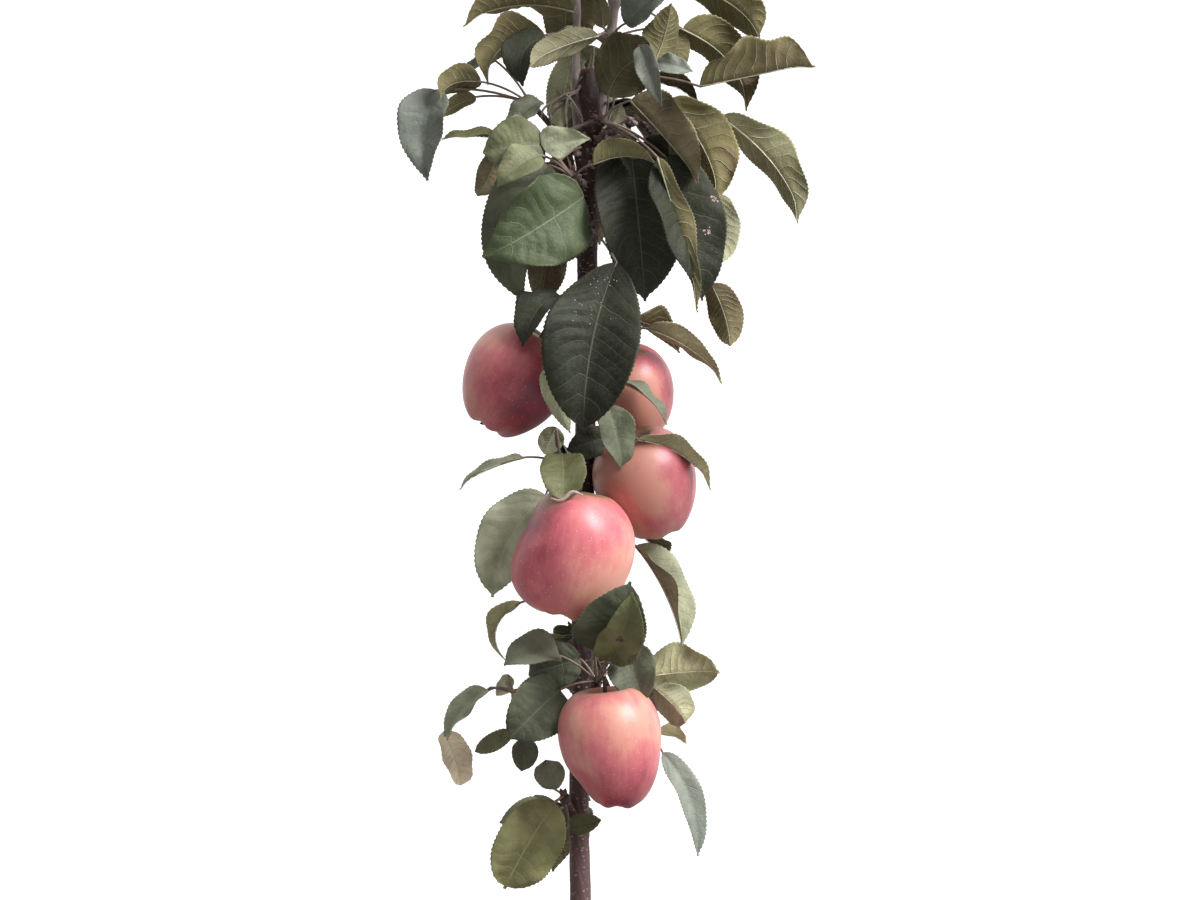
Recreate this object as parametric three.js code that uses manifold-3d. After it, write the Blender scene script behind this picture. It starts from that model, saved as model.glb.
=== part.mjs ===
// A dwarf apple tree, grown as one upright column in a plain clay pot.
// Millimetres, +Z up. The origin is the middle of the pot's flat underside; -Y is the front.
// The trunk stands on the compost and ends in a pruned stub, with two young leaders rising
// beside it. Each fruiting spur is one mass: a woody stem, its twigs, leaf stalks, leaves and fruit.
import * as THREE from 'three';
import { mergeVertices } from 'three/addons/utils/BufferGeometryUtils.js';
import Module from 'manifold-3d';

const wasm = await Module();
wasm.setup();

// ---- Driving dimensions ----

const seatGap = 0.3; // between pieces that touch
const pot = {
  height: 250,
  rimRadius: 145,
  rimHeight: 38,
  rimLip: 7,
  topRadius: 136,
  footRadius: 98,
  wall: 9,
  floor: 12,
};
const drain = { count: 3, radius: 6, ring: 55, cutDepth: 36, sides: 12 };
const compost = { edgeHeight: 218, crownHeight: 224, seatRadius: 24 };
const trunk = { sides: 10, stubTop: 953, stubBevel: 3, embed: 5 };
const leader = { foot: 890, top: 935, sides: 8 };
const turnedSides = 32; // of the pot and the compost
const twig = {
  stalkRadius: 1.1,
  spurRadius: 3.2,
  spurTaper: [1.2, 1.15, 1, 0.8],
  sag: -3,
  crownRadius: 2.0,
  crownTaper: [1.1, 1, 0.9, 0.7],
  lift: 3,
  fruitStalkRadius: 1.5,
  fruitStalkFlare: 1.2,
  fruitMouth: 0.52, // where a fruit's stalk leaves its dimple, as a share of the height above the centre
};
const leafRule = {
  posedStations: [0.2, 0.47, 0.77], // where a blade is ringed along its length
  grownStations: [0.26, 0.66],
  thickness: 0.022, // at the midrib, as a share of the length
  baseFullness: 0.5, // powers of a grown leaf's outline at the stalk and at the tip
  tipFullness: 0.75,
};
const growth = {
  tries: 150,
  goldenAngle: 137.5,
  planeOffset: 3,
  planeGap: 1.5,
  frontFloor: 1008, // below this height the leaders' seeded leaves stay behind and near the middle
  behind: 14,
  reach: 62,
  spurRise: [-0.1, 1.1], // how steeply stalks leave a spur, and the sizes of its leaves
  spurSizes: [58, 92],
  crownRise: [0.3, 1.6], // the same up a leader, whose leaves grow smaller towards its tip
  crownSizes: [96, 46],
  sizeTaper: 1.6,
  sizeSpread: [0.85, 1.05],
  firstLeaf: 0.22,
};
// Ranges a seeded leaf draws from, as shares of its size, radians or degrees.
const grown = {
  stalk: [0.22, 0.34],
  heading: [-0.35, 0.35],
  dip: [-0.95, -0.25],
  dipPerRise: 0.55,
  width: [0.5, 0.6],
  turn: [-28, 28],
  arch: [0.06, 0.15],
  fold: [12, 30],
  bearing: [-0.3, 0.3],
};
const samples = { stalk: 0.6, along: [0.18, 0.38, 0.58, 0.78], across: [-1, -0.5, 0, 0.5, 1] };
const fruitRule = { rings: 8, sides: 11, shoulders: 0.16, stalkDimple: 0.24, eyeDimple: 0.12 };

// ---- Vectors, chance and solids ----

const vec = (p) => new THREE.Vector3(...p);
const lerp = (a, b, t) => a + (b - a) * t;
const radians = THREE.MathUtils.degToRad;

// A small seeded generator, so that the tree grows the same way each time.
function chance(seed) {
  let state = seed >>> 0;
  return (low = 0, high = 1) => {
    state = (Math.imul(state, 1664525) + 1013904223) >>> 0;
    return low + (high - low) * (state / 4294967296);
  };
}

// Value of a station table [[z, a, b, ...], ...] at height z, blended smoothly between rows.
function alongTable(table, z) {
  const last = table.length - 1;
  let i = 0;
  while (i < last - 1 && z > table[i + 1][0]) i += 1;
  const t = THREE.MathUtils.clamp((z - table[i][0]) / (table[i + 1][0] - table[i][0]), 0, 1);
  const s = t * t * (3 - 2 * t);
  return table[i].slice(1).map((value, k) => lerp(value, table[i + 1][k + 1], s));
}

// A closed skin: a point, rings of equal count about the way forward, and a point.
function skin(start, rings, end) {
  const sides = rings[0].length;
  const points = [start, ...rings.flat(), end];
  const last = points.length - 1;
  const triangles = [];
  for (let k = 0; k < sides; k += 1) {
    const next = (k + 1) % sides;
    triangles.push(0, 1 + next, 1 + k);
    for (let r = 0; r < rings.length - 1; r += 1) {
      const here = 1 + r * sides;
      const there = here + sides;
      triangles.push(here + k, here + next, there + next, here + k, there + next, there + k);
    }
    const top = 1 + (rings.length - 1) * sides;
    triangles.push(last, top + k, top + next);
  }
  return solidOf(points.flatMap((p) => [p.x, p.y, p.z]), triangles);
}

function solidOf(positions, triangles) {
  const vertProperties = new Float32Array(positions);
  const build = (order) => new wasm.Manifold(
    new wasm.Mesh({ numProp: 3, vertProperties, triVerts: new Uint32Array(order) }),
  );
  const made = build(triangles);
  return made.volume() > 0 ? made : build(triangles.toReversed());
}

function solidOfGeometry(geometry) {
  const bare = geometry.index ? geometry.toNonIndexed() : geometry;
  bare.deleteAttribute('normal');
  bare.deleteAttribute('uv');
  const merged = mergeVertices(bare, 1e-4);
  return solidOf(Array.from(merged.attributes.position.array), Array.from(merged.index.array));
}

// A tapering limb along a path of points, with one radius for each.
function limb(path, radii, sides) {
  const rings = path.map((point, i) => {
    const before = path[Math.max(i - 1, 0)];
    const after = path[Math.min(i + 1, path.length - 1)];
    const along = after.clone().sub(before).normalize();
    const level = new THREE.Vector3(0.23, 0.97, 0.05);
    const across = level.sub(along.clone().multiplyScalar(level.dot(along))).normalize();
    const upward = new THREE.Vector3().crossVectors(along, across);
    return Array.from({ length: sides }, (_, k) => {
      const a = (2 * Math.PI * k) / sides;
      return point.clone()
        .addScaledVector(across, radii[i] * Math.cos(a))
        .addScaledVector(upward, radii[i] * Math.sin(a));
    });
  });
  return skin(path[0], rings, path[path.length - 1]);
}

// Points of a gentle bend from a to b, bowed by lift.
function bow(a, b, lift, steps) {
  const middle = a.clone().add(b).multiplyScalar(0.5).add(lift);
  const curve = new THREE.QuadraticBezierCurve3(a, middle, b);
  return curve.getPoints(steps);
}

const joined = (solids) => wasm.Manifold.union(solids);

function meshOf(solid, name, colour, roughness) {
  const made = solid.getMesh();
  const geometry = new THREE.BufferGeometry();
  const places = new Float32Array(made.numVert * 3);
  for (let i = 0; i < made.numVert; i += 1) {
    places.set(made.vertProperties.subarray(i * made.numProp, i * made.numProp + 3), i * 3);
  }
  geometry.setAttribute('position', new THREE.BufferAttribute(places, 3));
  geometry.setIndex(new THREE.BufferAttribute(made.triVerts, 1));
  geometry.computeVertexNormals();
  const material = new THREE.MeshStandardMaterial({ color: colour, roughness, metalness: 0 });
  const mesh = new THREE.Mesh(geometry, material);
  mesh.name = name;
  return mesh;
}

// ---- Pot and compost ----

// Turns a profile of [radius, height] points about the upright axis.
function turned(profile, sides) {
  const lathe = new THREE.LatheGeometry(profile.map(([r, z]) => new THREE.Vector2(r, z)), sides);
  return solidOfGeometry(lathe.rotateX(Math.PI / 2));
}

const potWallAt = (z) => lerp(pot.footRadius, pot.topRadius, z / (pot.height - pot.rimHeight));

function potSolid() {
  const rimFoot = pot.height - pot.rimHeight;
  const inside = (z) => Math.min(potWallAt(z), pot.topRadius) - pot.wall;
  const shell = turned([
    [0, 0], [pot.footRadius - 4, 0], [pot.footRadius, 4],
    [pot.topRadius, rimFoot], [pot.rimRadius - 2, rimFoot + 2],
    [pot.rimRadius, pot.height - pot.rimLip], [pot.rimRadius - 4, pot.height],
    [pot.topRadius - pot.wall + 3, pot.height], [pot.topRadius - pot.wall, pot.height - 4],
    [inside(rimFoot), rimFoot], [inside(pot.floor), pot.floor], [0, pot.floor],
  ], turnedSides);
  const holes = Array.from({ length: drain.count }, (_, k) => {
    const a = (2 * Math.PI * k) / drain.count;
    const cut = new THREE.CylinderGeometry(drain.radius, drain.radius, drain.cutDepth, drain.sides)
      .rotateX(Math.PI / 2);
    return solidOfGeometry(cut.translate(drain.ring * Math.cos(a), drain.ring * Math.sin(a), pot.floor / 2));
  });
  return holes.reduce((body, hole) => body.subtract(hole), shell);
}

function compostSolid() {
  const foot = pot.floor + seatGap;
  const edge = potWallAt(compost.edgeHeight) - pot.wall;
  return turned([
    [0, foot], [potWallAt(foot) - pot.wall - seatGap, foot],
    [Math.min(edge, pot.topRadius - pot.wall) - seatGap, compost.edgeHeight],
    [compost.seatRadius, compost.crownHeight], [0, compost.crownHeight],
  ], turnedSides);
}

// ---- Trunk and leaders ----

// Height, x, y and radius of the stem: root flare, graft swelling, slow taper, the knuckle
// where the top spurs crowd together, and the pruned stub.
const trunkTable = [
  [compost.crownHeight + seatGap, 0, 0, 17], [234, 0, 0, 13.2], [252, 0, 0, 11.2], [284, -1, 0, 10.4],
  [306, -2, 0, 11.2], [330, -3, 0, 9.6], [362, -3, 0, 7.9], [410, -3, 0, 6.9], [440, -4, 0, 6.6],
  [452, -4, 0, 7.3], [466, -4, 0, 6.6], [540, -2, 1, 6.6], [620, -1, 2, 6.8], [700, 0, 1, 6.7],
  [780, 1, 0, 6.6], [860, 2, 0, 6.7], [892, 2, 0, 8.2], [914, 3, 0, 7.4], [924, 3.5, -1, 6.2],
  [934, 2.5, -2, 6.9], [943, 2, -2, 7.1], [trunk.stubTop - trunk.stubBevel, 2.5, -2, 6.3],
  [trunk.stubTop, 2.5, -2, 5.4],
];

function trunkSolid(grow = 0) {
  const path = trunkTable.map(([z, x, y]) => new THREE.Vector3(x, y, z));
  if (grow) {
    path[0].z -= trunk.embed;
    path[path.length - 1].z += grow;
  }
  return limb(path, trunkTable.map((row) => row[3] + grow), trunk.sides);
}

const trunkAt = (z) => {
  const [x, y, radius] = alongTable(trunkTable, z);
  return { middle: new THREE.Vector3(x, y, z), radius };
};

// Each young leader leaves the trunk behind the stub; the mass on it carries on from its tip.
const leaders = {
  leader_left: {
    path: [[-2, 1, leader.foot], [-4, 9, 906], [-5, 12, 920], [-6, 13, leader.top]],
    radii: [3.6, 3.4, 3.2, 3.0],
    onward: [[-6, 13, 960], [-6, 12, 1000], [-13, 12, 1080], [-24, 16, 1165], [-32, 20, 1245]],
    tipRadius: 1.0,
  },
  leader_right: {
    path: [[6, 1, leader.foot], [9, 8, 906], [10, 10, 920], [12, 10, leader.top]],
    radii: [4.4, 4.3, 4.2, 4.1],
    onward: [[15, 9, 960], [20, 6, 1000], [29, 0, 1100], [38, -5, 1210], [43, -6, 1325]],
    tipRadius: 1.1,
  },
};

// ---- Leaves ----

// A leaf's own frame: along the blade, its upper face's normal, and its side. A posed leaf's turn is
// counted from facing the front, positive towards the left of its heading; others face the sky.
function leafFrame(leaf) {
  const base = vec(leaf.base);
  const along = vec(leaf.tip).sub(base);
  const length = along.length();
  along.normalize();
  const facing = leaf.skyward ? new THREE.Vector3(0, 0, 1) : new THREE.Vector3(0, -1, 0);
  facing.addScaledVector(along, -facing.dot(along)).normalize();
  const across = new THREE.Vector3().crossVectors(along, facing);
  const turn = radians(leaf.turn);
  const normal = facing.multiplyScalar(Math.cos(turn)).addScaledVector(across, -Math.sin(turn));
  const side = new THREE.Vector3().crossVectors(along, normal);
  return { base, along, length, normal, side, across };
}

// Half the blade's width at u: the smaller the power of each end, the blunter that end.
function halfWidth(leaf, u) {
  const { foot: a, point: b } = leaf;
  const peak = a / (a + b);
  return (leaf.width / 2) * (u ** a * (1 - u) ** b) / (peak ** a * (1 - peak) ** b);
}

// A point of the blade, u along it and v across it from -1 to 1. The midrib arches towards the
// upper face, bows to its left by sweep, and the halves rise from it as a shallow V.
function leafPoint(leaf, frame, u, v) {
  const bulge = 4 * u * (1 - u);
  const slope = 4 * (1 - 2 * u);
  const tangent = frame.along.clone().multiplyScalar(frame.length)
    .addScaledVector(frame.normal, slope * leaf.arch)
    .addScaledVector(frame.across, slope * leaf.sweep)
    .normalize();
  const normal = frame.normal.clone().addScaledVector(tangent, -frame.normal.dot(tangent)).normalize();
  const side = new THREE.Vector3().crossVectors(tangent, normal);
  const fold = radians(leaf.fold);
  const reach = halfWidth(leaf, u);
  return frame.base.clone()
    .addScaledVector(frame.along, frame.length * u)
    .addScaledVector(frame.normal, bulge * leaf.arch)
    .addScaledVector(frame.across, bulge * leaf.sweep)
    .addScaledVector(side, v * reach * Math.cos(fold))
    .addScaledVector(normal, Math.abs(v) * reach * Math.sin(fold));
}

// One leaf with its stalk, as one skin: square rings from the crown to the blade's base, then
// flat four-cornered rings across the blade, and its tip.
function leafSolid(leaf) {
  const frame = leafFrame(leaf);
  const stations = leaf.skyward ? leafRule.grownStations : leafRule.posedStations;
  const half = (leafRule.thickness * frame.length) / 2;
  const blade = stations.map((u) => {
    const middle = leafPoint(leaf, frame, u, 0);
    return [
      leafPoint(leaf, frame, u, -1),
      middle.clone().addScaledVector(frame.normal, half),
      leafPoint(leaf, frame, u, 1),
      middle.clone().addScaledVector(frame.normal, -half),
    ];
  });
  const mean = frame.base.clone().sub(leaf.crown).normalize().add(frame.along).normalize();
  const side = frame.side.clone().addScaledVector(mean, -frame.side.dot(mean)).normalize();
  const normal = new THREE.Vector3().crossVectors(side, mean);
  const stalkRing = (centre, radius) => [[side, -1], [normal, 1], [side, 1], [normal, -1]]
    .map(([axis, sign]) => centre.clone().addScaledVector(axis, sign * radius));
  const stalk = [stalkRing(leaf.crown, twig.stalkRadius * 1.3), stalkRing(frame.base, twig.stalkRadius)];
  return skin(leaf.crown, [...stalk, ...blade], leafPoint(leaf, frame, 1, 0));
}

// ---- Fruit ----

// Rings from the stalk dimple to the eye: broad shoulders, a narrower foot.
function fruitSolid(fruit) {
  const { rings, sides, shoulders, stalkDimple, eyeDimple } = fruitRule;
  const up = vec(fruit.axis).normalize();
  const across = new THREE.Vector3(0, 1, 0).cross(up).normalize();
  const onward = new THREE.Vector3().crossVectors(up, across);
  const centre = vec(fruit.centre);
  const place = (theta, a) => {
    const out = Math.sin(theta) * (1 + shoulders * Math.cos(theta));
    const dimple = theta < Math.PI / 2 ? -stalkDimple : eyeDimple;
    const height = Math.cos(theta) + 2 * dimple * Math.exp(-((out / 0.3) ** 2));
    return centre.clone()
      .addScaledVector(up, (fruit.height / 2) * height)
      .addScaledVector(across, fruit.radius * out * Math.cos(a))
      .addScaledVector(onward, fruit.radius * out * Math.sin(a));
  };
  const ringsOf = Array.from({ length: rings }, (_, i) => {
    const theta = (Math.PI * (i + 1)) / (rings + 1);
    return Array.from({ length: sides }, (__, k) => place(theta, (2 * Math.PI * k) / sides));
  });
  return skin(place(0, 0), ringsOf, place(Math.PI, 0));
}

function fruitStalkSolid(fruit, crown) {
  const up = vec(fruit.axis).normalize();
  const dimple = vec(fruit.centre).addScaledVector(up, fruit.height * (0.5 - fruitRule.stalkDimple) - 4);
  const mouth = vec(fruit.centre).addScaledVector(up, fruit.height * twig.fruitMouth);
  const r = twig.fruitStalkRadius;
  return limb([dimple, mouth, crown], [r, r, r * twig.fruitStalkFlare], 4);
}

// ---- Masses ----

// Each spur leaves the trunk at root, towards its first crown, and each further crown grows from the
// nearest one before it. Rows are the leaves that show: blade base x, y, z, tip x, y, z, width, turn,
// arch, sweep, fold and the outline's powers at the stalk and at the tip. grow adds leaves by the
// seeded rule, fanned about a bearing: 0 is +X, 90 the back.
const spurs = {
  spur_foot: {
    root: 452, seed: 3, crowns: [[-14, -12, 470]],
    rows: [
      [-20, -15, 475, -26, -24, 495, 22, 5, 2, 0, 22, 0.8, 0.35],
      [-20, -20, 466, -53, -32, 411, 44, 0, 5, 2, 14, 0.5, 0.45],
      [-26, -8, 461, -57, -3, 452, 24, 178, 2, 0, 20, 0.5, 0.8],
      [-10, -13, 450, 11, -17, 455, 15, 10, 2, 0, 20, 0.5, 0.7],
    ],
  },
  spur_rosette: {
    root: 528, seed: 5, crowns: [[8, -27, 547]],
    fruit: { centre: [17, -50, 504.5], radius: 35, height: 90, axis: [-0.1, -0.06, 1] },
    rows: [
      [-17, -36, 565, -53, -46, 560, 32, -45, 7, 0, 22, 0.5, 0.75],
      [-3, -22, 562, -38, -16, 551, 34, -10, 4, 0, 20, 0.5, 0.6],
      [6, -44, 569, 29, -92, 614, 48, -5, 8, 2, 15, 0.5, 0.6],
      [15, -54, 563, 30.5, -106, 608, 31, -8, 4, 1, 22, 0.5, 0.7],
      [28, -16, 559, 33, -8, 600, 21, 10, 4, -2, 22, 0.5, 0.7],
      [30, -40, 568, 39, -56, 535, 34, -8, 5, 0, 20, 0.5, 0.7],
      [-17, -36, 542, -49, -58, 512, 42, 0, 5, 1, 18, 0.4, 0.55],
    ],
  },
  spur_left_low: {
    root: 512, seed: 7, crowns: [[-24, 6, 528], [-48, 3, 538], [-63, 1, 541]],
    rows: [
      [-65, -2, 540, -93, -9, 508, 22, -50, 5.5, 0, 22, 0.5, 0.8],
      [-94, -6, 512, -82, -6, 477, 23, 165, 6, 0, 30, 0.5, 0.45],
      [-49, -3, 512, -73, -10, 500, 13, -10, 1, 0, 20, 0.5, 0.5],
      [-39, -12, 507, -42, -16, 487, 19, 0, 3, 0, 22, 0.5, 0.7],
      [-51, 2, 550, -59, -2, 536, 12, 160, 3, 0, 22, 0.5, 0.8],
    ],
  },
  spur_right_low: {
    root: 518, seed: 11, crowns: [[26, 14, 536]],
    grow: { count: 1, bearing: 60, spread: 30, space: [2, 66, 460, 580] },
    rows: [
      [43, 4, 549, 90, -4, 553, 38, 158, 4, 0, 18, 0.45, 0.7],
      [47, -4, 541, 68, -16, 519, 27, 165, 4, 0, 24, 0.5, 0.6],
      [49, 6, 511, 68, 3, 504, 18, 130, 3, 0, 24, 0.5, 0.8],
      [52, 0, 498, 75, -10, 430, 19, 25, 4, -6, 20, 0.5, 0.7],
    ],
  },
  spur_left_mid: {
    root: 588, seed: 13, crowns: [[-18, 14, 600]],
    grow: { count: 2, bearing: 112, spread: 50, space: [-70, 10, 520, 670] },
    rows: [
      [-43, 8, 598, -54, 0, 559, 22, -112, 12, 0, 22, 0.5, 0.85],
    ],
  },
  spur_right_mid: {
    root: 626, seed: 17, crowns: [[20, 12, 640]],
    grow: { count: 4, bearing: 65, spread: 34, space: [2, 60, 560, 700] },
    rows: [
      [34, 2, 636, 65, -8, 569, 35, 60, 2, -3, 50, 0.5, 0.7],
    ],
  },
  spur_front_mid: {
    root: 680, seed: 19, crowns: [[-16, -16, 691]],
    fruit: { centre: [-9, -52, 631], radius: 40, height: 97, axis: [0.12, -0.04, 1] },
    rows: [
      [-19, -18, 715, -27, -22, 697, 18, 175, 2, 0, 22, 0.5, 0.7],
      [-15, -46, 697, -14, -84, 670, 31, 0, 4, 0, 15, 0.5, 0.32],
      [-41, -18, 695, -85, -12, 676, 15, -70, 2, 0, 22, 0.5, 0.7],
      [-26, -24, 670, -61, -36, 603, 43, -12, 4, 8, 16, 0.6, 0.7],
    ],
  },
  spur_right_front: {
    root: 700, seed: 23, crowns: [[13, -13, 709]],
    fruit: { centre: [41, -13, 677], radius: 34, height: 80, axis: [-0.32, -0.3, 1] },
    rows: [
      [15, -40, 729, 25, -46, 687, 27, 22, 3, 0, 22, 0.5, 0.7],
      [35, -44, 707, 85, -36, 677, 24, 112, 7, 0, 24, 0.5, 0.8],
      [15, -20, 709, -12, -24, 700, 22, 0, 3, 0, 20, 0.5, 0.7],
    ],
  },
  spur_left_upper: {
    root: 775, seed: 29, crowns: [[-15, -11, 788]],
    fruit: { centre: [-47.5, -12, 745], radius: 34, height: 80, axis: [0.62, -0.05, 1] },
    rows: [
      [-15, -20, 801, -41, -48, 768, 33, -40, 12, 0, 20, 0.6, 0.8],
      [-27, -48, 752, -9, -50, 711, 15, 172, 3, 0, 22, 0.5, 0.8],
    ],
  },
  spur_right_upper: {
    root: 766, seed: 31, crowns: [[14, 13, 776]],
    grow: { count: 1, bearing: 50, spread: 34, space: [2, 66, 690, 840] },
    fruit: { centre: [30, 30, 738], radius: 30, height: 70, axis: [-0.4, -0.4, 1] },
    rows: [
      [23, -13, 745, 55, -14, 717, 17, 70, 5, 0, 22, 0.5, 0.8],
      [42, 0, 781, 93, -14, 746, 22, 128, 6.5, 0, 20, 0.5, 1.2],
    ],
  },
  spur_front_upper: {
    root: 842, seed: 37, crowns: [[3, -27, 847]],
    rows: [
      [21, -42, 823, -1, -66, 712, 65, -5, 9, 3, 16, 0.8, 0.7],
    ],
  },
  spur_left_high: {
    root: 872, seed: 41, crowns: [[-8, -15, 880]],
    grow: { count: 1, bearing: 150, spread: 30, space: [-66, -5, 790, 900] },
    rows: [
      [-27, -38, 900, -66, -52, 895, 40, -8, 4, 0, 14, 0.5, 0.6],
      [-30, -50, 893, -57, -60, 873, 26, -20, 4, 0, 20, 0.5, 0.8],
      [-27, -41, 897, 3, -47, 904, 25, 12, -3, -3, 22, 0.35, 1.1],
      [-24, -12, 889, -43, -20, 798, 46, -20, 12, 8, 18, 0.5, 0.75],
      [-1, -28, 867, -64, -58, 826, 60, 14, 5, 0, 10, 0.5, 0.85],
      [-22, 10, 846, -29, 6, 799, 28, 178, 4, 0, 22, 0.5, 0.6],
      [6, -37, 888, 46, -50, 888, 28, 115, 6, 0, 28, 0.5, 0.8],
      [-13, 6, 900, -25, 4, 866, 20, 170, 2, 0, 22, 0.5, 0.7],
    ],
  },
  spur_left_top: {
    root: 897, seed: 43, crowns: [[-13, -6, 903], [-36, -5, 930]],
    rows: [
      [-60, 17, 961, -84, 15, 952, 12, -45, 3, 0, 22, 0.5, 0.8],
      [-69, -16, 944, -96, -26, 932, 24, -140, 10, 0, 24, 0.5, 0.8],
      [-99, -8, 939, -104, -18, 878, 37, -20, 7, 4, 24, 0.5, 0.9],
      [-73, -4, 935, -97, -2, 921, 13, -150, 5, 0, 22, 0.5, 0.8],
      [-53, -14, 907, -95, -20, 907, 16, -66, 1, 0, 22, 0.5, 0.7],
      [-29, -14, 931, -50, -24, 908, 20, -30, 5, 0, 22, 0.5, 0.7],
      [-57, -2, 900, -71, -6, 868, 22, 168, 4, 0, 22, 0.5, 0.6],
    ],
  },
  spur_front_top: {
    root: 905, seed: 47, crowns: [[10, -17, 918]],
    rows: [
      [30, -34, 930, 76, -62, 874, 46, 122, 2, 0, 32, 0.5, 0.7],
      [30, -15, 904, 40, -22, 798, 60, 12, 8, 0, 14, 0.5, 0.65],
      [48, -50, 891, 77, -56, 790, 20, 130, 4, 4, 24, 0.5, 0.8],
      [53, -36, 893, 80, -42, 799, 50, 25, 8, 0, 18, 0.5, 0.65],
      [40, -6, 906, 80, -10, 868, 34, -15, 8, 0, 20, 0.5, 0.7],
    ],
  },
  spur_right_top: {
    root: 908, seed: 53, crowns: [[36, 8, 922], [60, 6, 890], [74, 4, 848]],
    grow: { count: 4, bearing: 60, spread: 30, space: [10, 96, 840, 960] },
    rows: [
      [91, 10, 923, 145, -6, 852, 35, 140, 17, 0, 22, 0.6, 0.75],
      [55, -10, 932, 88, -28, 863, 44, 145, 17, 0, 24, 0.5, 0.7],
      [33, 12, 944, 77, 16, 931, 33, 100, 8, 0, 22, 0.5, 0.8],
      [88, 6, 871, 88, 0, 823, 25, 150, 5, -1, 22, 0.5, 0.6],
      [84, 0, 811, 97, -4, 769, 25, 160, 5, 0, 20, 0.5, 0.6],
    ],
  },
  spur_back_foot: {
    root: 446, seed: 59, crowns: [[-2, 16, 456]],
    grow: { count: 3, bearing: 105, spread: 30, space: [-60, 6, 400, 500] },
  },
  spur_back_low: {
    root: 556, seed: 61, crowns: [[4, 16, 566]],
    grow: { count: 5, bearing: 90, spread: 38, space: [-50, 52, 500, 610] },
    fruit: { centre: [16, 46, 505], radius: 30, height: 66, axis: [0, -0.06, 1] },
  },
  spur_back_mid: {
    root: 662, seed: 67, crowns: [[-4, 17, 672]],
    grow: { count: 4, bearing: 88, spread: 40, space: [-30, 58, 590, 720] },
    fruit: { centre: [-8, 50, 628], radius: 35, height: 78, axis: [0.05, -0.1, 1] },
  },
  spur_back_upper: {
    root: 738, seed: 71, crowns: [[-8, 15, 750]],
    grow: { count: 5, bearing: 110, spread: 42, space: [-70, 50, 690, 800] },
  },
  spur_back_high: {
    root: 866, seed: 73, crowns: [[7, 16, 879]],
    grow: { count: 3, bearing: 88, spread: 50, space: [-62, 66, 780, 900] },
    fruit: { centre: [38, 43, 851], radius: 25, height: 56, axis: [0, -0.1, 1] },
  },
  spur_back_top: {
    root: 902, seed: 89, crowns: [[1, 18, 916]],
    grow: { count: 6, bearing: 90, spread: 75, space: [-26, 85, 880, 990] },
    rows: [
      [-8, 26, 966, -19, 32, 914, 26, 180, 3, 0, 22, 0.5, 0.7],
      [6, 28, 972, -1, 38, 946, 22, 175, 2, 0, 22, 0.5, 0.7],
      [-14, 30, 985, -2, 34, 958, 24, 180, 2, 0, 22, 0.5, 0.7],
      [18, 24, 915, 24, 30, 934, 16, 180, 1, 0, 22, 0.5, 0.7],
    ],
  },
};

// The two masses on the leaders keep to either side of an upright plane: left and back, right and front.
const leaderMasses = {
  crown_left: {
    onLeader: 'leader_left', seed: 79, side: -1, leaves: 34,
    rows: [
      [-7, 6, 993, -82, 0, 985, 50, -115, 10, 0, 22, 0.6, 0.6],
      [-27, -4, 976, -66, -12, 943, 40, -120, 15, 0, 22, 0.5, 0.75],
      [-26, -16, 973, -41, -26, 940, 30, -30, 8, 5, 20, 0.5, 0.8],
    ],
  },
  crown_right: {
    onLeader: 'leader_right', seed: 83, side: 1, leaves: 40,
    rows: [
      [9, -30, 973, -38, -54, 951, 20, -150, 5, 0, 20, 0.5, 0.6],
      [15, -20, 934, 46, -48, 953, 45, 165, 7, -8, 22, 0.5, 0.6],
      [12, -6, 981, 9, -10, 1004, 13, 175, 2, 0, 22, 0.5, 0.7],
      [27, -12, 983, 58, -20, 1008, 24, 20, 5, 0, 22, 0.5, 0.8],
      [46, -22, 957, 57, -26, 995, 27, 158, 4, 3, 22, 0.5, 0.75],
      [70, 10, 1010, 117, -2, 975, 42, 140, 12, 0, 22, 0.5, 0.75],
      [65, 4, 981, 109, -4, 926, 39, 140, 13, -4, 22, 0.5, 0.8],
      [76, -16, 941, 152, -28, 956, 52, 115, -3, -3, 36, 0.75, 0.6],
      [56, 4, 984, 64, 4, 951, 22, 170, 3, 0, 20, 0.5, 0.75],
      [36, -40, 965, 49, -52, 925, 17, -20, 5, -2, 24, 0.5, 0.8],
      [47, -38, 954, 71, -44, 948, 15, 20, 3, 0, 20, 0.5, 0.8],
    ],
  },
};

// The seeded rule for one leaf: its stalk leaves the crown at an angle, and the blade hangs on outwards.
function grownLeaf(random, crown, angle, rise, size) {
  const stalk = random(...grown.stalk) * size;
  const out = new THREE.Vector3(Math.cos(angle), Math.sin(angle), rise).normalize();
  const base = crown.clone().addScaledVector(out, stalk);
  const heading = angle + random(...grown.heading);
  const dip = random(...grown.dip) + grown.dipPerRise * rise;
  const ahead = new THREE.Vector3(Math.cos(heading), Math.sin(heading), dip).normalize();
  const tip = base.clone().addScaledVector(ahead, size);
  return {
    base: base.toArray(),
    tip: tip.toArray(),
    width: size * random(...grown.width),
    skyward: true,
    turn: random(...grown.turn),
    arch: size * random(...grown.arch),
    sweep: 0,
    fold: random(...grown.fold),
    foot: leafRule.baseFullness,
    point: leafRule.tipFullness,
    crown,
  };
}

// Points all over a blade and half way up its stalk, for keeping pieces apart.
function leafSamples(leaf) {
  const frame = leafFrame(leaf);
  const stalkPoint = leaf.crown.clone().lerp(frame.base, samples.stalk);
  const points = [stalkPoint, frame.base.clone(), leafPoint(leaf, frame, 1, 0)];
  for (const u of samples.along) {
    for (const v of samples.across) points.push(leafPoint(leaf, frame, u, v));
  }
  return points;
}

const clear = { leaf: 9, fruit: 6, wood: 9 }; // least distance of a sample from each
const everyFruit = Object.values(spurs).map((spur) => spur.fruit).filter(Boolean);

const insideSpace = (p, [lowX, highX, lowZ, highZ]) => p.x > lowX && p.x < highX && p.z > lowZ && p.z < highZ;

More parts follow.
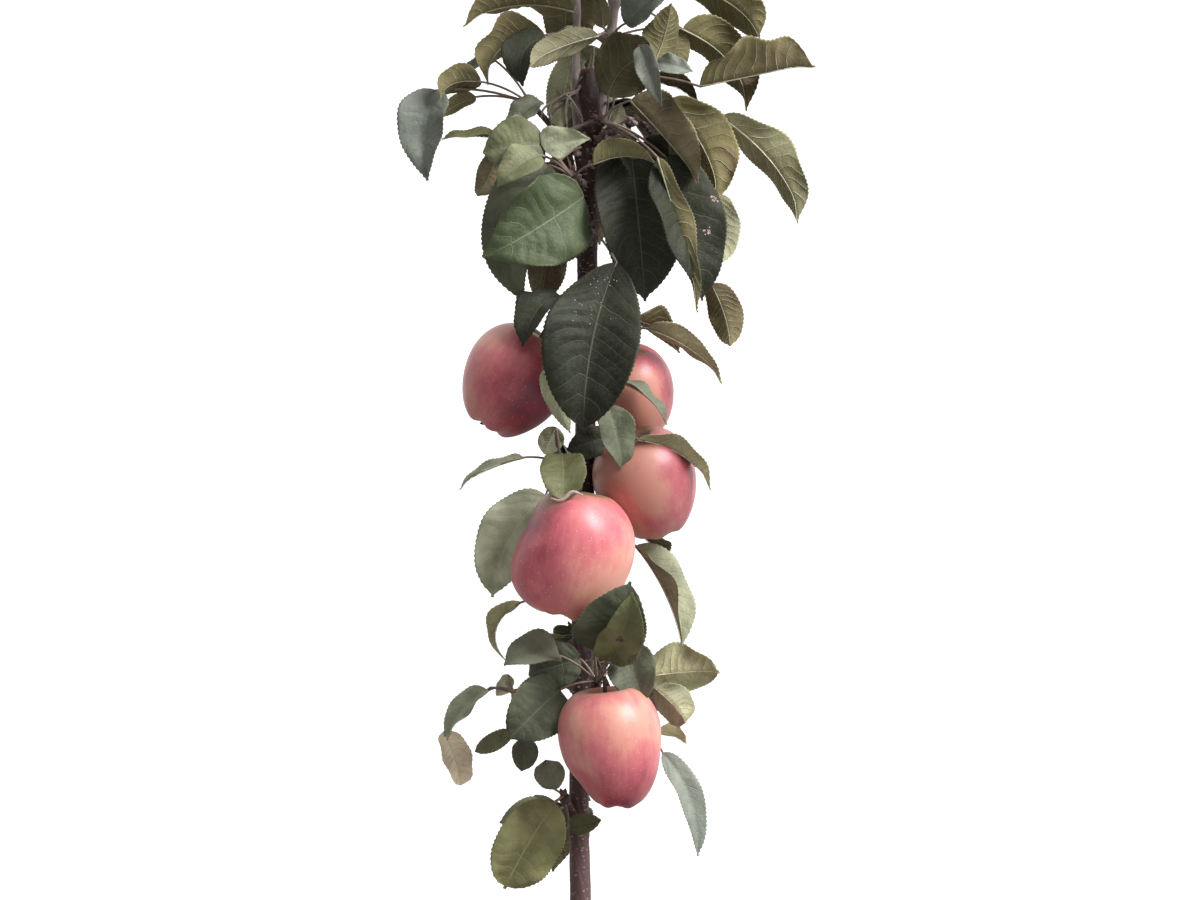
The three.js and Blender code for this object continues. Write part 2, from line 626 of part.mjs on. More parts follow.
function offWood(p) {
  if (p.z > trunk.stubTop + clear.wood) return true;
  const stem = trunkAt(p.z);
  return Math.hypot(p.x - stem.middle.x, p.y - stem.middle.y) > stem.radius + clear.wood;
}

const offFruit = (p) => everyFruit.every((fruit) =>
  p.distanceTo(vec(fruit.centre)) > Math.max(fruit.radius, fruit.height / 2) + clear.fruit);

// True where a grown leaf keeps to its own space: off the wood, the fruit and every other mass.
function keepsClear(points, taken, own, inside) {
  return points.every((p) => inside(p) && offWood(p) && offFruit(p)
    && taken.every((other) => other.mass === own || other.point.distanceTo(p) > clear.leaf));
}

const nearest = (crowns, point) =>
  crowns.reduce((best, crown) => (crown.distanceTo(point) < best.distanceTo(point) ? crown : best));

function posedLeaves({ rows = [] }, crowns) {
  return rows.map(([bx, by, bz, tx, ty, tz, width, turn, arch, sweep, fold, foot, point]) => ({
    base: [bx, by, bz], tip: [tx, ty, tz], width, turn, arch, sweep, fold, foot, point,
    crown: nearest(crowns, new THREE.Vector3(bx, by, bz)),
  }));
}

// Grows every mass in order: the leaves that show first, then the rest, each kept clear of what is there.
function growMasses() {
  const taken = [];
  const masses = {};
  const take = (name, leaf) => {
    masses[name].leaves.push(leaf);
    taken.push(...leafSamples(leaf).map((point) => ({ mass: name, point })));
  };
  const all = { ...spurs, ...leaderMasses };
  for (const [name, plan] of Object.entries(all)) {
    const random = chance(plan.seed);
    const stem = plan.onLeader ? leaderStem(plan.onLeader) : null;
    const crowns = stem ? stem.nodes.slice(1) : plan.crowns.map(vec);
    masses[name] = { plan, random, crowns, stem, leaves: [] };
    for (const leaf of posedLeaves(plan, crowns)) take(name, leaf);
  }
  for (const [name, plan] of Object.entries(spurs)) {
    if (!plan.grow) continue;
    const { random, crowns, leaves } = masses[name];
    const { count, bearing, spread, space } = plan.grow;
    const wanted = leaves.length + count;
    for (let i = 0; i < growth.tries && leaves.length < wanted; i += 1) {
      const angle = radians(bearing + random(-spread, spread));
      const rise = random(...growth.spurRise);
      const leaf = grownLeaf(random, crowns[0], angle, rise, random(...growth.spurSizes));
      if (keepsClear(leafSamples(leaf), taken, name, (p) => insideSpace(p, space))) take(name, leaf);
    }
  }
  for (const [name, plan] of Object.entries(leaderMasses)) {
    const { random, stem } = masses[name];
    const beside = (p) => plan.side * (p.x - p.y - growth.planeOffset) > growth.planeGap;
    const tucked = (p) => p.y > growth.behind && Math.abs(p.x) < growth.reach;
    const inside = (p) => beside(p) && (p.z > growth.frontFloor || tucked(p));
    for (let i = 0; i < plan.leaves; i += 1) {
      const share = (i + 0.5) / plan.leaves;
      const angle = radians(growth.goldenAngle * i) + random(...grown.bearing);
      const size = lerp(...growth.crownSizes, share ** growth.sizeTaper) * random(...growth.sizeSpread);
      const crown = stem.at(lerp(growth.firstLeaf, 1, share));
      const leaf = grownLeaf(random, crown, angle, lerp(...growth.crownRise, share), size);
      if (keepsClear(leafSamples(leaf), taken, name, inside)) take(name, leaf);
    }
  }
  return masses;
}

// The stem of a leader's mass: it carries on from the leader's tip, one seat gap clear.
function leaderStem(name) {
  const { path, onward, radii, tipRadius } = leaders[name];
  const tip = vec(path[path.length - 1]);
  const way = tip.clone().sub(vec(path[path.length - 2])).normalize();
  const start = tip.clone().addScaledVector(way, seatGap);
  const points = [start, ...onward.map(vec)];
  const curve = new THREE.CatmullRomCurve3(points, false, 'catmullrom', 0.5);
  const steps = 10;
  const nodes = curve.getPoints(steps);
  return {
    nodes,
    radii: nodes.map((_, i) => lerp(radii[radii.length - 1], tipRadius, i / steps)),
    at: (share) => {
      const place = Math.min(share * steps, steps - 1e-6);
      const i = Math.floor(place);
      return nodes[i].clone().lerp(nodes[i + 1], place - i);
    },
  };
}

// The wood of a spur: one stem from inside the trunk to the first crown, then twigs to the others.
function spurWood(plan, crowns) {
  const root = trunkAt(plan.root).middle;
  const sag = new THREE.Vector3(0, 0, twig.sag);
  const lift = new THREE.Vector3(0, 0, twig.lift);
  const spurRadii = twig.spurTaper.map((k) => k * twig.spurRadius);
  const crownRadii = twig.crownTaper.map((k) => k * twig.crownRadius);
  const wood = [limb(bow(root, crowns[0], sag, 3), spurRadii, 6)];
  crowns.slice(1).forEach((crown, i) => {
    const from = nearest(crowns.slice(0, i + 1), crown);
    wood.push(limb(bow(from, crown, lift, 3), crownRadii, 5));
  });
  return wood;
}

const largest = (solid) => solid.decompose().reduce((a, b) => (b.volume() > a.volume() ? b : a));

function massSolid(mass, wood) {
  const { plan, crowns, stem, leaves } = mass;
  const parts = stem ? [limb(stem.nodes, stem.radii, 6)] : spurWood(plan, crowns);
  if (plan.fruit) parts.push(fruitSolid(plan.fruit), fruitStalkSolid(plan.fruit, crowns[0]));
  for (const leaf of leaves) parts.push(leafSolid(leaf));
  return largest(joined(parts).subtract(wood));
}

// ---- Assembly ----

const colours = { clay: 0xa8583a, compost: 0x32261d, bark: 0x4a3433, leaf: 0x5d6144 };
const tree = new THREE.Group();
const add = (solid, name, colour, roughness) => tree.add(meshOf(solid, name, colour, roughness));

add(potSolid(), 'pot', colours.clay, 0.85);
add(compostSolid(), 'compost', colours.compost, 1);
add(trunkSolid(), 'trunk', colours.bark, 0.7);

const grownTrunk = trunkSolid(seatGap);
const leaderSolids = Object.entries(leaders).map(([name, plan]) => {
  const solid = largest(limb(plan.path.map(vec), plan.radii, leader.sides).subtract(grownTrunk));
  add(solid, name, colours.bark, 0.65);
  return limb(plan.path.map(vec), plan.radii.map((r) => r + seatGap), leader.sides);
});

const wood = joined([grownTrunk, ...leaderSolids]);
const masses = growMasses();
for (const [name, mass] of Object.entries(masses)) {
  add(massSolid(mass, wood), name, colours.leaf, 0.6);
}

export default tree;
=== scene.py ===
import math
import bpy
import numpy as np
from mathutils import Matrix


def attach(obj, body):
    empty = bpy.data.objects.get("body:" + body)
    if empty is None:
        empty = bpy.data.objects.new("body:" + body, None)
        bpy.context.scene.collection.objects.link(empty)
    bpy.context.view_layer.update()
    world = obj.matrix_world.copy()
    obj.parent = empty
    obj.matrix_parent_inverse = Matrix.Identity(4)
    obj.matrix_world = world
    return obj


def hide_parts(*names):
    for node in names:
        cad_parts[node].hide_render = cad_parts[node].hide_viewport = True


# A dwarf apple tree in a clay pot. The frame holds the solids; this script dresses them.
# Tables are in millimetres and every mesh is written in metres.
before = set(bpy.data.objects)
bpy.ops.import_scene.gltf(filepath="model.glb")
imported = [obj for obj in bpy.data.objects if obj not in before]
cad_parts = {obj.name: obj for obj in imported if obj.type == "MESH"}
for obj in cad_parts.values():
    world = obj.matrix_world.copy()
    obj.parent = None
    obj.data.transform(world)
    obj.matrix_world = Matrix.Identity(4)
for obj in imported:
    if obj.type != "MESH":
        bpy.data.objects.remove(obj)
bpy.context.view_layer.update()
mm = 0.001
tau = 2 * math.pi
zAxis = np.array([0.0, 0.0, 1.0])
viewer = np.array([0.0, -1.0, 0.0])  # the front of the tree


def vec(*p):
    # a point or a direction as an array
    return np.array(p, dtype=float)


def unit(a):
    # a divided by its own length
    return a / np.maximum(np.linalg.norm(a, axis=-1, keepdims=True), 1e-9)


def lerp(a, b, t):
    # a at t = 0, b at t = 1 and even between them
    return a + (b - a) * t


def smooth(low, high, x):
    # 0 below low, 1 above high, 3t^2 - 2t^3 between
    t = np.clip((x - low) / (high - low), 0, 1)
    return t * t * (3 - 2 * t)


def hump(x, centre, width):
    # e to the power of minus the square of (x - centre) / width
    return np.exp(-((x - centre) / width) ** 2)


def bearings(count):
    # angles spread evenly round a whole turn
    return np.linspace(0, tau, count, endpoint=False)


def polar(r, a, z):
    # points at radius r, bearing a and height z
    return np.stack(np.broadcast_arrays(r * np.cos(a), r * np.sin(a), z), -1)


def chance(seed):
    # the same small generator as in the part's source: s = 1664525 s + 1013904223, mod 2^32
    state = seed

    def draw(low, high):
        # the next number, between low and high
        nonlocal state
        state = (state * 1664525 + 1013904223) % 2**32
        return low + (high - low) * state / 2**32
    return draw


def curve(a, handle, b, steps):
    # quadratic curve from a to b, drawn towards a handle
    t = np.linspace(0, 1, steps)[:, None]
    return (1 - t) ** 2 * a + 2 * t * (1 - t) * handle + t * t * b


def bow(a, b, lift, steps):
    # a curve from a to b, drawn towards the middle between them plus lift
    return curve(a, (a + b) / 2 + lift, b, steps)


def throughPoints(points, steps):
    # an even Catmull-Rom curve through points, its ends carried straight on
    points = np.asarray(points, float)
    p = np.vstack([2 * points[0] - points[1], points, 2 * points[-1] - points[-2]])
    place = np.linspace(0, len(points) - 1, steps)
    i = np.minimum(place.astype(int), len(points) - 2)
    t = (place - i)[:, None]
    a, b, c, d = p[i], p[i + 1], p[i + 2], p[i + 3]
    return b + 0.5 * t * (c - a + t * (2 * a - 5 * b + 4 * c - d + t * (3 * (b - c) + d - a)))


def gridFaces(ids):
    # two triangles for each cell of a grid of point numbers
    a, b, c, d = ids[:-1, :-1], ids[:-1, 1:], ids[1:, 1:], ids[1:, :-1]
    return np.concatenate([np.stack([a, b, c], -1).reshape(-1, 3), np.stack([a, c, d], -1).reshape(-1, 3)])


def closedRings(rings, foot, top):
    # rings of points joined one to the next, with a fan to a point of its own at each end
    sides = rings.shape[1]
    count = len(rings) * sides
    ids = np.arange(count).reshape(-1, sides)
    ids = np.concatenate([ids, ids[:, :1]], axis=1)
    start = np.stack([np.full(sides, count), ids[0, 1:], ids[0, :-1]], -1)
    end = np.stack([np.full(sides, count + 1), ids[-1, :-1], ids[-1, 1:]], -1)
    return np.concatenate([rings.reshape(-1, 3), [foot, top]]), np.concatenate([gridFaces(ids), start, end])


def ringsMap(rows, sides):
    # flat places for the faces of closedRings: bearing across, ring upwards
    up, across = np.meshgrid(np.linspace(0, 1, rows), np.linspace(0, 1, sides + 1), indexing="ij")
    corner = np.stack([across, up], -1)
    grid = corner.reshape(-1, 2)[gridFaces(np.arange(rows * (sides + 1)).reshape(rows, -1))]
    foot, top = ((row[:-1] + row[1:]) / 2 for row in (corner[0], corner[-1]))
    start = np.stack([foot, corner[0, 1:], corner[0, :-1]], 1)
    end = np.stack([top, corner[-1, :-1], corner[-1, 1:]], 1)
    return np.concatenate([grid, start, end])


def newHeap():
    # an empty heap of loose geometry
    return {"points": [], "faces": [], "uvs": [], "slots": [], "count": 0}


def pile(heap, points, faces, uvs=None, slots=0):
    # adds loose geometry to a heap that becomes one piece
    heap["points"].append(points)
    heap["faces"].append(faces + heap["count"])
    heap["uvs"].append(np.zeros((len(faces), 3, 2)) if uvs is None else uvs)
    heap["slots"].append(np.full(len(faces), slots))
    heap["count"] += len(points)


def pileTube(heap, path, radii, sides):
    # circles of the given radii carried along a path, closed by a point at each end
    path, radii = np.asarray(path, float), np.asarray(radii, float)
    way = unit(np.gradient(path, axis=0))
    reference = np.eye(3)[np.argmin(np.abs(unit(path[-1] - path[0])))]
    across = unit(reference - way * (way @ reference)[:, None])
    upward = np.cross(way, across)
    a = bearings(sides)[None, :, None]
    rings = path[:, None] + radii[:, None, None] * (across[:, None] * np.cos(a) + upward[:, None] * np.sin(a))
    pile(heap, *closedRings(rings, path[0], path[-1]))


# a regular solid of 20 faces, for galls, crumbs and gnarled wood
phi = (1 + 5 ** 0.5) / 2
lump = unit(np.array([(-1, phi, 0), (1, phi, 0), (-1, -phi, 0), (1, -phi, 0), (0, -1, phi), (0, 1, phi),
                      (0, -1, -phi), (0, 1, -phi), (phi, 0, -1), (phi, 0, 1), (-phi, 0, -1), (-phi, 0, 1)]))
lumpFaces = np.array([(0, 11, 5), (0, 5, 1), (0, 1, 7), (0, 7, 10), (0, 10, 11), (1, 5, 9), (5, 11, 4),
                      (11, 10, 2), (10, 7, 6), (7, 1, 8), (3, 9, 4), (3, 4, 2), (3, 2, 6), (3, 6, 8),
                      (3, 8, 9), (4, 9, 5), (2, 4, 11), (6, 2, 10), (8, 6, 7), (9, 8, 1)])


def newObject(name, data):
    # an object in the scene, at the origin and unturned
    made = bpy.data.objects.new(name, data)
    bpy.context.scene.collection.objects.link(made)
    return made


def heapMesh(name, heap, isFlat=False):
    # the heap's points in metres and its faces
    mesh = bpy.data.meshes.new(name)
    faces = np.concatenate(heap["faces"])
    mesh.from_pydata(np.concatenate(heap["points"]) * mm, [], faces, shade_flat=isFlat)
    return mesh


def makePiece(name, heap, materials, nodes=(), attributes=()):
    # one mesh object from a heap, in metres, riding on the tree's only body
    mesh = heapMesh(name, heap)
    mesh.polygons.foreach_set("material_index", np.concatenate(heap["slots"]).astype(np.int32))
    uvs = np.concatenate(heap["uvs"])
    if np.any(uvs):
        mesh.uv_layers.new(name="OFBake").data.foreach_set("uv", uvs.astype(np.float32).ravel())
    for attribute, values in attributes:
        kind, field = ("FLOAT_VECTOR", "vector") if values.ndim == 2 else ("FLOAT", "value")
        layer = mesh.attributes.new(attribute, kind, "POINT")
        layer.data.foreach_set(field, values.astype(np.float32).ravel())
    for material in materials:
        mesh.materials.append(material)
    mesh.update()
    piece = newObject(name, mesh)
    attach(piece, "root")
    if nodes:
        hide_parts(*nodes)
    return piece


def tint(colour, share):
    # the colour times a share
    return tuple(c * share for c in colour)


def newMaterial(name, colour, sockets):
    # a node material with the given values in its shader's sockets
    material = bpy.data.materials.new(name)
    material.use_nodes = True
    shader = material.node_tree.nodes["Principled BSDF"]
    for socket, value in {"Base Color": (*colour, 1), **sockets}.items():
        shader.inputs[socket].default_value = value
    return material, material.node_tree, shader


def addNode(tree, kind, inputs=(), **settings):
    # inputs are (socket, value or output) pairs
    node = tree.nodes.new(kind)
    for key, value in settings.items():
        setattr(node, key, value)
    for socket, value in inputs:
        if isinstance(value, bpy.types.NodeSocket):
            tree.links.new(value, node.inputs[socket])
        else:
            node.inputs[socket].default_value = value
    return node


def maths(tree, operation, *values):
    # one operation on numbers
    return addNode(tree, "ShaderNodeMath", enumerate(values), operation=operation).outputs[0]


def vectorMaths(tree, operation, *values):
    # one operation on places
    node = addNode(tree, "ShaderNodeVectorMath", enumerate(values), operation=operation)
    return node.outputs["Value" if operation in ("LENGTH", "DOT_PRODUCT") else "Vector"]


def band(tree, value, low, high, most=1.0, least=0.0):
    # least at low, most at high and even between them
    inputs = [(0, value), (1, low), (2, high), (3, least), (4, most)]
    return addNode(tree, "ShaderNodeMapRange", inputs).outputs[0]


def noise(tree, place, scale, detail=3.0, roughness=0.55):
    # soft noise between 0 and 1
    inputs = [("Vector", place), ("Scale", scale), ("Detail", detail), ("Roughness", roughness)]
    return addNode(tree, "ShaderNodeTexNoise", inputs).outputs["Fac"]


def cells(tree, place, scale, feature="F1"):
    # distance to the nearest of scattered points, or to the edge between two of them
    inputs = [("Vector", place), ("Scale", scale)]
    return addNode(tree, "ShaderNodeTexVoronoi", inputs, feature=feature).outputs["Distance"]


def ramp(tree, value, stops):
    # colours at their stops along a value, mixed between them
    node = addNode(tree, "ShaderNodeValToRGB", [(0, value)])
    elements = node.color_ramp.elements
    while len(elements) < len(stops):
        elements.new(0.5)
    for element, (place, colour) in zip(elements, stops):
        element.position = place
        element.color = (*colour, 1)
    return node.outputs["Color"]


def mixColour(tree, share, a, b, blend="MIX"):
    # a at share 0 and b at share 1
    colours = [c if isinstance(c, bpy.types.NodeSocket) else (*c, 1) for c in (a, b)]
    inputs = [(0, share), (6, colours[0]), (7, colours[1])]
    return addNode(tree, "ShaderNodeMix", inputs, data_type="RGBA", blend_type=blend).outputs[2]


def joined(tree, *inputs):
    # a place from its three numbers
    return addNode(tree, "ShaderNodeCombineXYZ", inputs).outputs[0]


def split(tree, place):
    # the three numbers of a place
    return addNode(tree, "ShaderNodeSeparateXYZ", [(0, place)]).outputs


def objectPlace(tree):
    # the place in metres in the shared frame
    return addNode(tree, "ShaderNodeTexCoord").outputs["Object"]


def ownAttribute(tree, name, output="Vector"):
    # what the mesh holds at its points under this name
    return addNode(tree, "ShaderNodeAttribute", attribute_name=name).outputs[output]


def dress(tree, shader, colour, height, strength, distance):
    # the colour and the bumps of a material
    inputs = [("Height", height), ("Strength", strength), ("Distance", distance)]
    tree.links.new(addNode(tree, "ShaderNodeBump", inputs).outputs["Normal"], shader.inputs["Normal"])
    tree.links.new(colour, shader.inputs["Base Color"])


# the plain materials: colour, roughness and scale of the mottling
plainLooks = {
    "vein_pale": ((0.62, 0.60, 0.43), 0.6, 180.0), "vein_light": ((0.42, 0.40, 0.28), 0.6, 180.0),
    "vein_dim": ((0.17, 0.16, 0.10), 0.6, 180.0), "stalk": ((0.215, 0.155, 0.125), 0.5, 180.0),
    "leaf_gall": ((0.42, 0.30, 0.29), 0.7, 600.0), "leaf_spot": ((0.130, 0.060, 0.055), 0.7, 600.0),
    # next, the pale lumps strewn on one leaf are a painted highlight, glints near its midrib
    "leaf_painted_glint": ((0.42, 0.44, 0.38), 0.7, 600.0), "fruit_stalk": ((0.070, 0.045, 0.034), 0.6, 180.0),
    "eye": ((0.045, 0.032, 0.020), 0.8, 180.0), "cut_wood": ((0.105, 0.042, 0.034), 0.8, 180.0),
    "slim_wood": ((0.165, 0.120, 0.098), 0.5, 180.0), "bud": ((0.105, 0.055, 0.048), 0.6, 180.0),
    "bare_stalk": ((0.165, 0.115, 0.098), 0.5, 180.0), "gnarl": ((0.230, 0.170, 0.165), 0.7, 500.0),
    "crumb": ((0.11, 0.072, 0.042), 0.9, 180.0),
}


def mottled(name):
    # a plain material whose colour and height wander a little
    colour, roughness, scale = plainLooks[name]
    material, tree, shader = newMaterial(name, colour, {"Roughness": roughness})
    grain = noise(tree, objectPlace(tree), scale, 4.0)
    painted = ramp(tree, grain, [(0.3, tint(colour, 0.7)), (0.5, colour), (0.72, tint(colour, 1.4))])
    dress(tree, shader, painted, grain, 0.3, 0.0004)
    return material


# the camera, the sky's brightness, the lamps (place, size, power) and the floor
stage = {
    "eye": (0.010, -2.600, 0.700), "frameWidth": 0.800, "sensor": 36.0, "farthest": 50,
    "bright": (0.50, 0.72, 0.48), "glowFrom": -0.8, "glowTo": 0.6, "front": 0.17, "back": 1.32,
    "lamps": {"key": ((1.6, -1.15, 2.3), 1.1, 92.0), "fill": ((-1.5, -1.7, 0.55), 1.6, 1.5)},
    "lampAim": (0, 0, 0.7), "floor": (0.30, 0.30, 0.29), "floorX": (-5, 5), "floorY": (-4, 3),
}


def makeStage():
    # the camera, a white sky that lights the tree more from behind, two lamps and a floor
    scene = bpy.context.scene
    scene.view_settings.view_transform = "Standard"
    data = bpy.data.cameras.new("camera")
    data.sensor_width = stage["sensor"]
    data.lens = -stage["eye"][1] * stage["sensor"] / stage["frameWidth"]
    data.clip_end = stage["farthest"]
    camera = newObject("camera", data)
    camera.location = stage["eye"]
    camera.rotation_euler = (math.pi / 2, 0, 0)
    scene.camera = camera
    world = bpy.data.worlds.new("sky")
    world.use_nodes = True
    tree = world.node_tree
    way = addNode(tree, "ShaderNodeTexCoord").outputs["Generated"]
    onward = vectorMaths(tree, "DOT_PRODUCT", way, stage["bright"])
    glow = band(tree, onward, stage["glowFrom"], stage["glowTo"], stage["back"], stage["front"])
    seen = addNode(tree, "ShaderNodeLightPath").outputs["Is Camera Ray"]
    backdrop = tree.nodes["Background"]
    backdrop.inputs["Color"].default_value = (1, 1, 1, 1)
    tree.links.new(maths(tree, "MAXIMUM", seen, glow), backdrop.inputs["Strength"])
    scene.world = world
    for name, (place, size, power) in stage["lamps"].items():
        lamp = bpy.data.lights.new(name, "AREA")
        lamp.size = size
        lamp.energy = power
        light = newObject(name, lamp)
        light.location = place
        aim = vec(*stage["lampAim"]) - np.array(place)
        flat = math.hypot(aim[0], aim[1])
        light.rotation_euler = (math.atan2(flat, -aim[2]), 0, math.atan2(aim[1], aim[0]) - math.pi / 2)
    mesh = bpy.data.meshes.new("floor")
    (west, east), (south, north) = stage["floorX"], stage["floorY"]
    corners = [(west, south, 0), (east, south, 0), (east, north, 0), (west, north, 0)]
    mesh.from_pydata(corners, [], [(0, 1, 2, 3)])
    mesh.materials.append(newMaterial("floor", stage["floor"], {"Roughness": 0.9})[0])
    newObject("floor", mesh)


makeStage()
print("stage set")


# how far each leaf keeps from other masses, fruit and the trunk
clearances = {"leaf": 9, "fruit": 6, "wood": 9}
# the seeded leaves: on the spurs, then on the leaders from their foot to their tip, then where these may be
growth = {
    "tries": 150, "rise": (-0.1, 1.1), "size": (58, 92),
    "goldenAngle": 137.5, "turnJitter": (-0.3, 0.3), "leaderSize": (96, 46), "sizePower": 1.6,
    "sizeJitter": (0.85, 1.05), "leaderStart": 0.22, "leaderRise": (0.3, 1.6), "stemSteps": 10,
    "planeOffset": 3, "planeGap": 1.5, "frontFloor": 1008, "behind": 14, "reach": 62,
}
# a seeded leaf's ranges; stalk, width and arch are shares of its length
leafRule = {
    "stalk": (0.22, 0.34), "veer": (-0.35, 0.35), "dip": (-0.95, -0.25), "dipPerRise": 0.55,
    "width": (0.5, 0.6), "turn": (-28, 28), "arch": (0.06, 0.15), "fold": (12, 30),
    "foot": 0.5, "point": 0.75,
}
# heights of the pruned stub's top and of the compost at the trunk; parts that meet stay seatGap apart
trunkTop, compostTop, seatGap = 953, 224, 0.3

# height, x, y and radius of the stem
trunkTable = np.array([
    [compostTop + seatGap, 0, 0, 17], [234, 0, 0, 13.2], [252, 0, 0, 11.2], [284, -1, 0, 10.4],
    [306, -2, 0, 11.2], [330, -3, 0, 9.6], [362, -3, 0, 7.9], [410, -3, 0, 6.9], [440, -4, 0, 6.6],
    [452, -4, 0, 7.3], [466, -4, 0, 6.6], [540, -2, 1, 6.6], [620, -1, 2, 6.8], [700, 0, 1, 6.7],
    [780, 1, 0, 6.6], [860, 2, 0, 6.7], [892, 2, 0, 8.2], [914, 3, 0, 7.4], [924, 3.5, -1, 6.2],
    [934, 2.5, -2, 6.9], [943, 2, -2, 7.1], [trunkTop - 3, 2.5, -2, 6.3], [trunkTop, 2.5, -2, 5.4],
])

leaders = {
    "leader_left": {
        "path": [[-2, 1, 890], [-4, 9, 906], [-5, 12, 920], [-6, 13, 935]], "radii": [3.6, 3.4, 3.2, 3.0],
        "onward": [[-6, 13, 960], [-6, 12, 1000], [-13, 12, 1080], [-24, 16, 1165], [-32, 20, 1245]],
        "tipRadius": 1.0,
    },
    "leader_right": {
        "path": [[6, 1, 890], [9, 8, 906], [10, 10, 920], [12, 10, 935]], "radii": [4.4, 4.3, 4.2, 4.1],
        "onward": [[15, 9, 960], [20, 6, 1000], [29, 0, 1100], [38, -5, 1210], [43, -6, 1325]],
        "tipRadius": 1.1,
    },
}

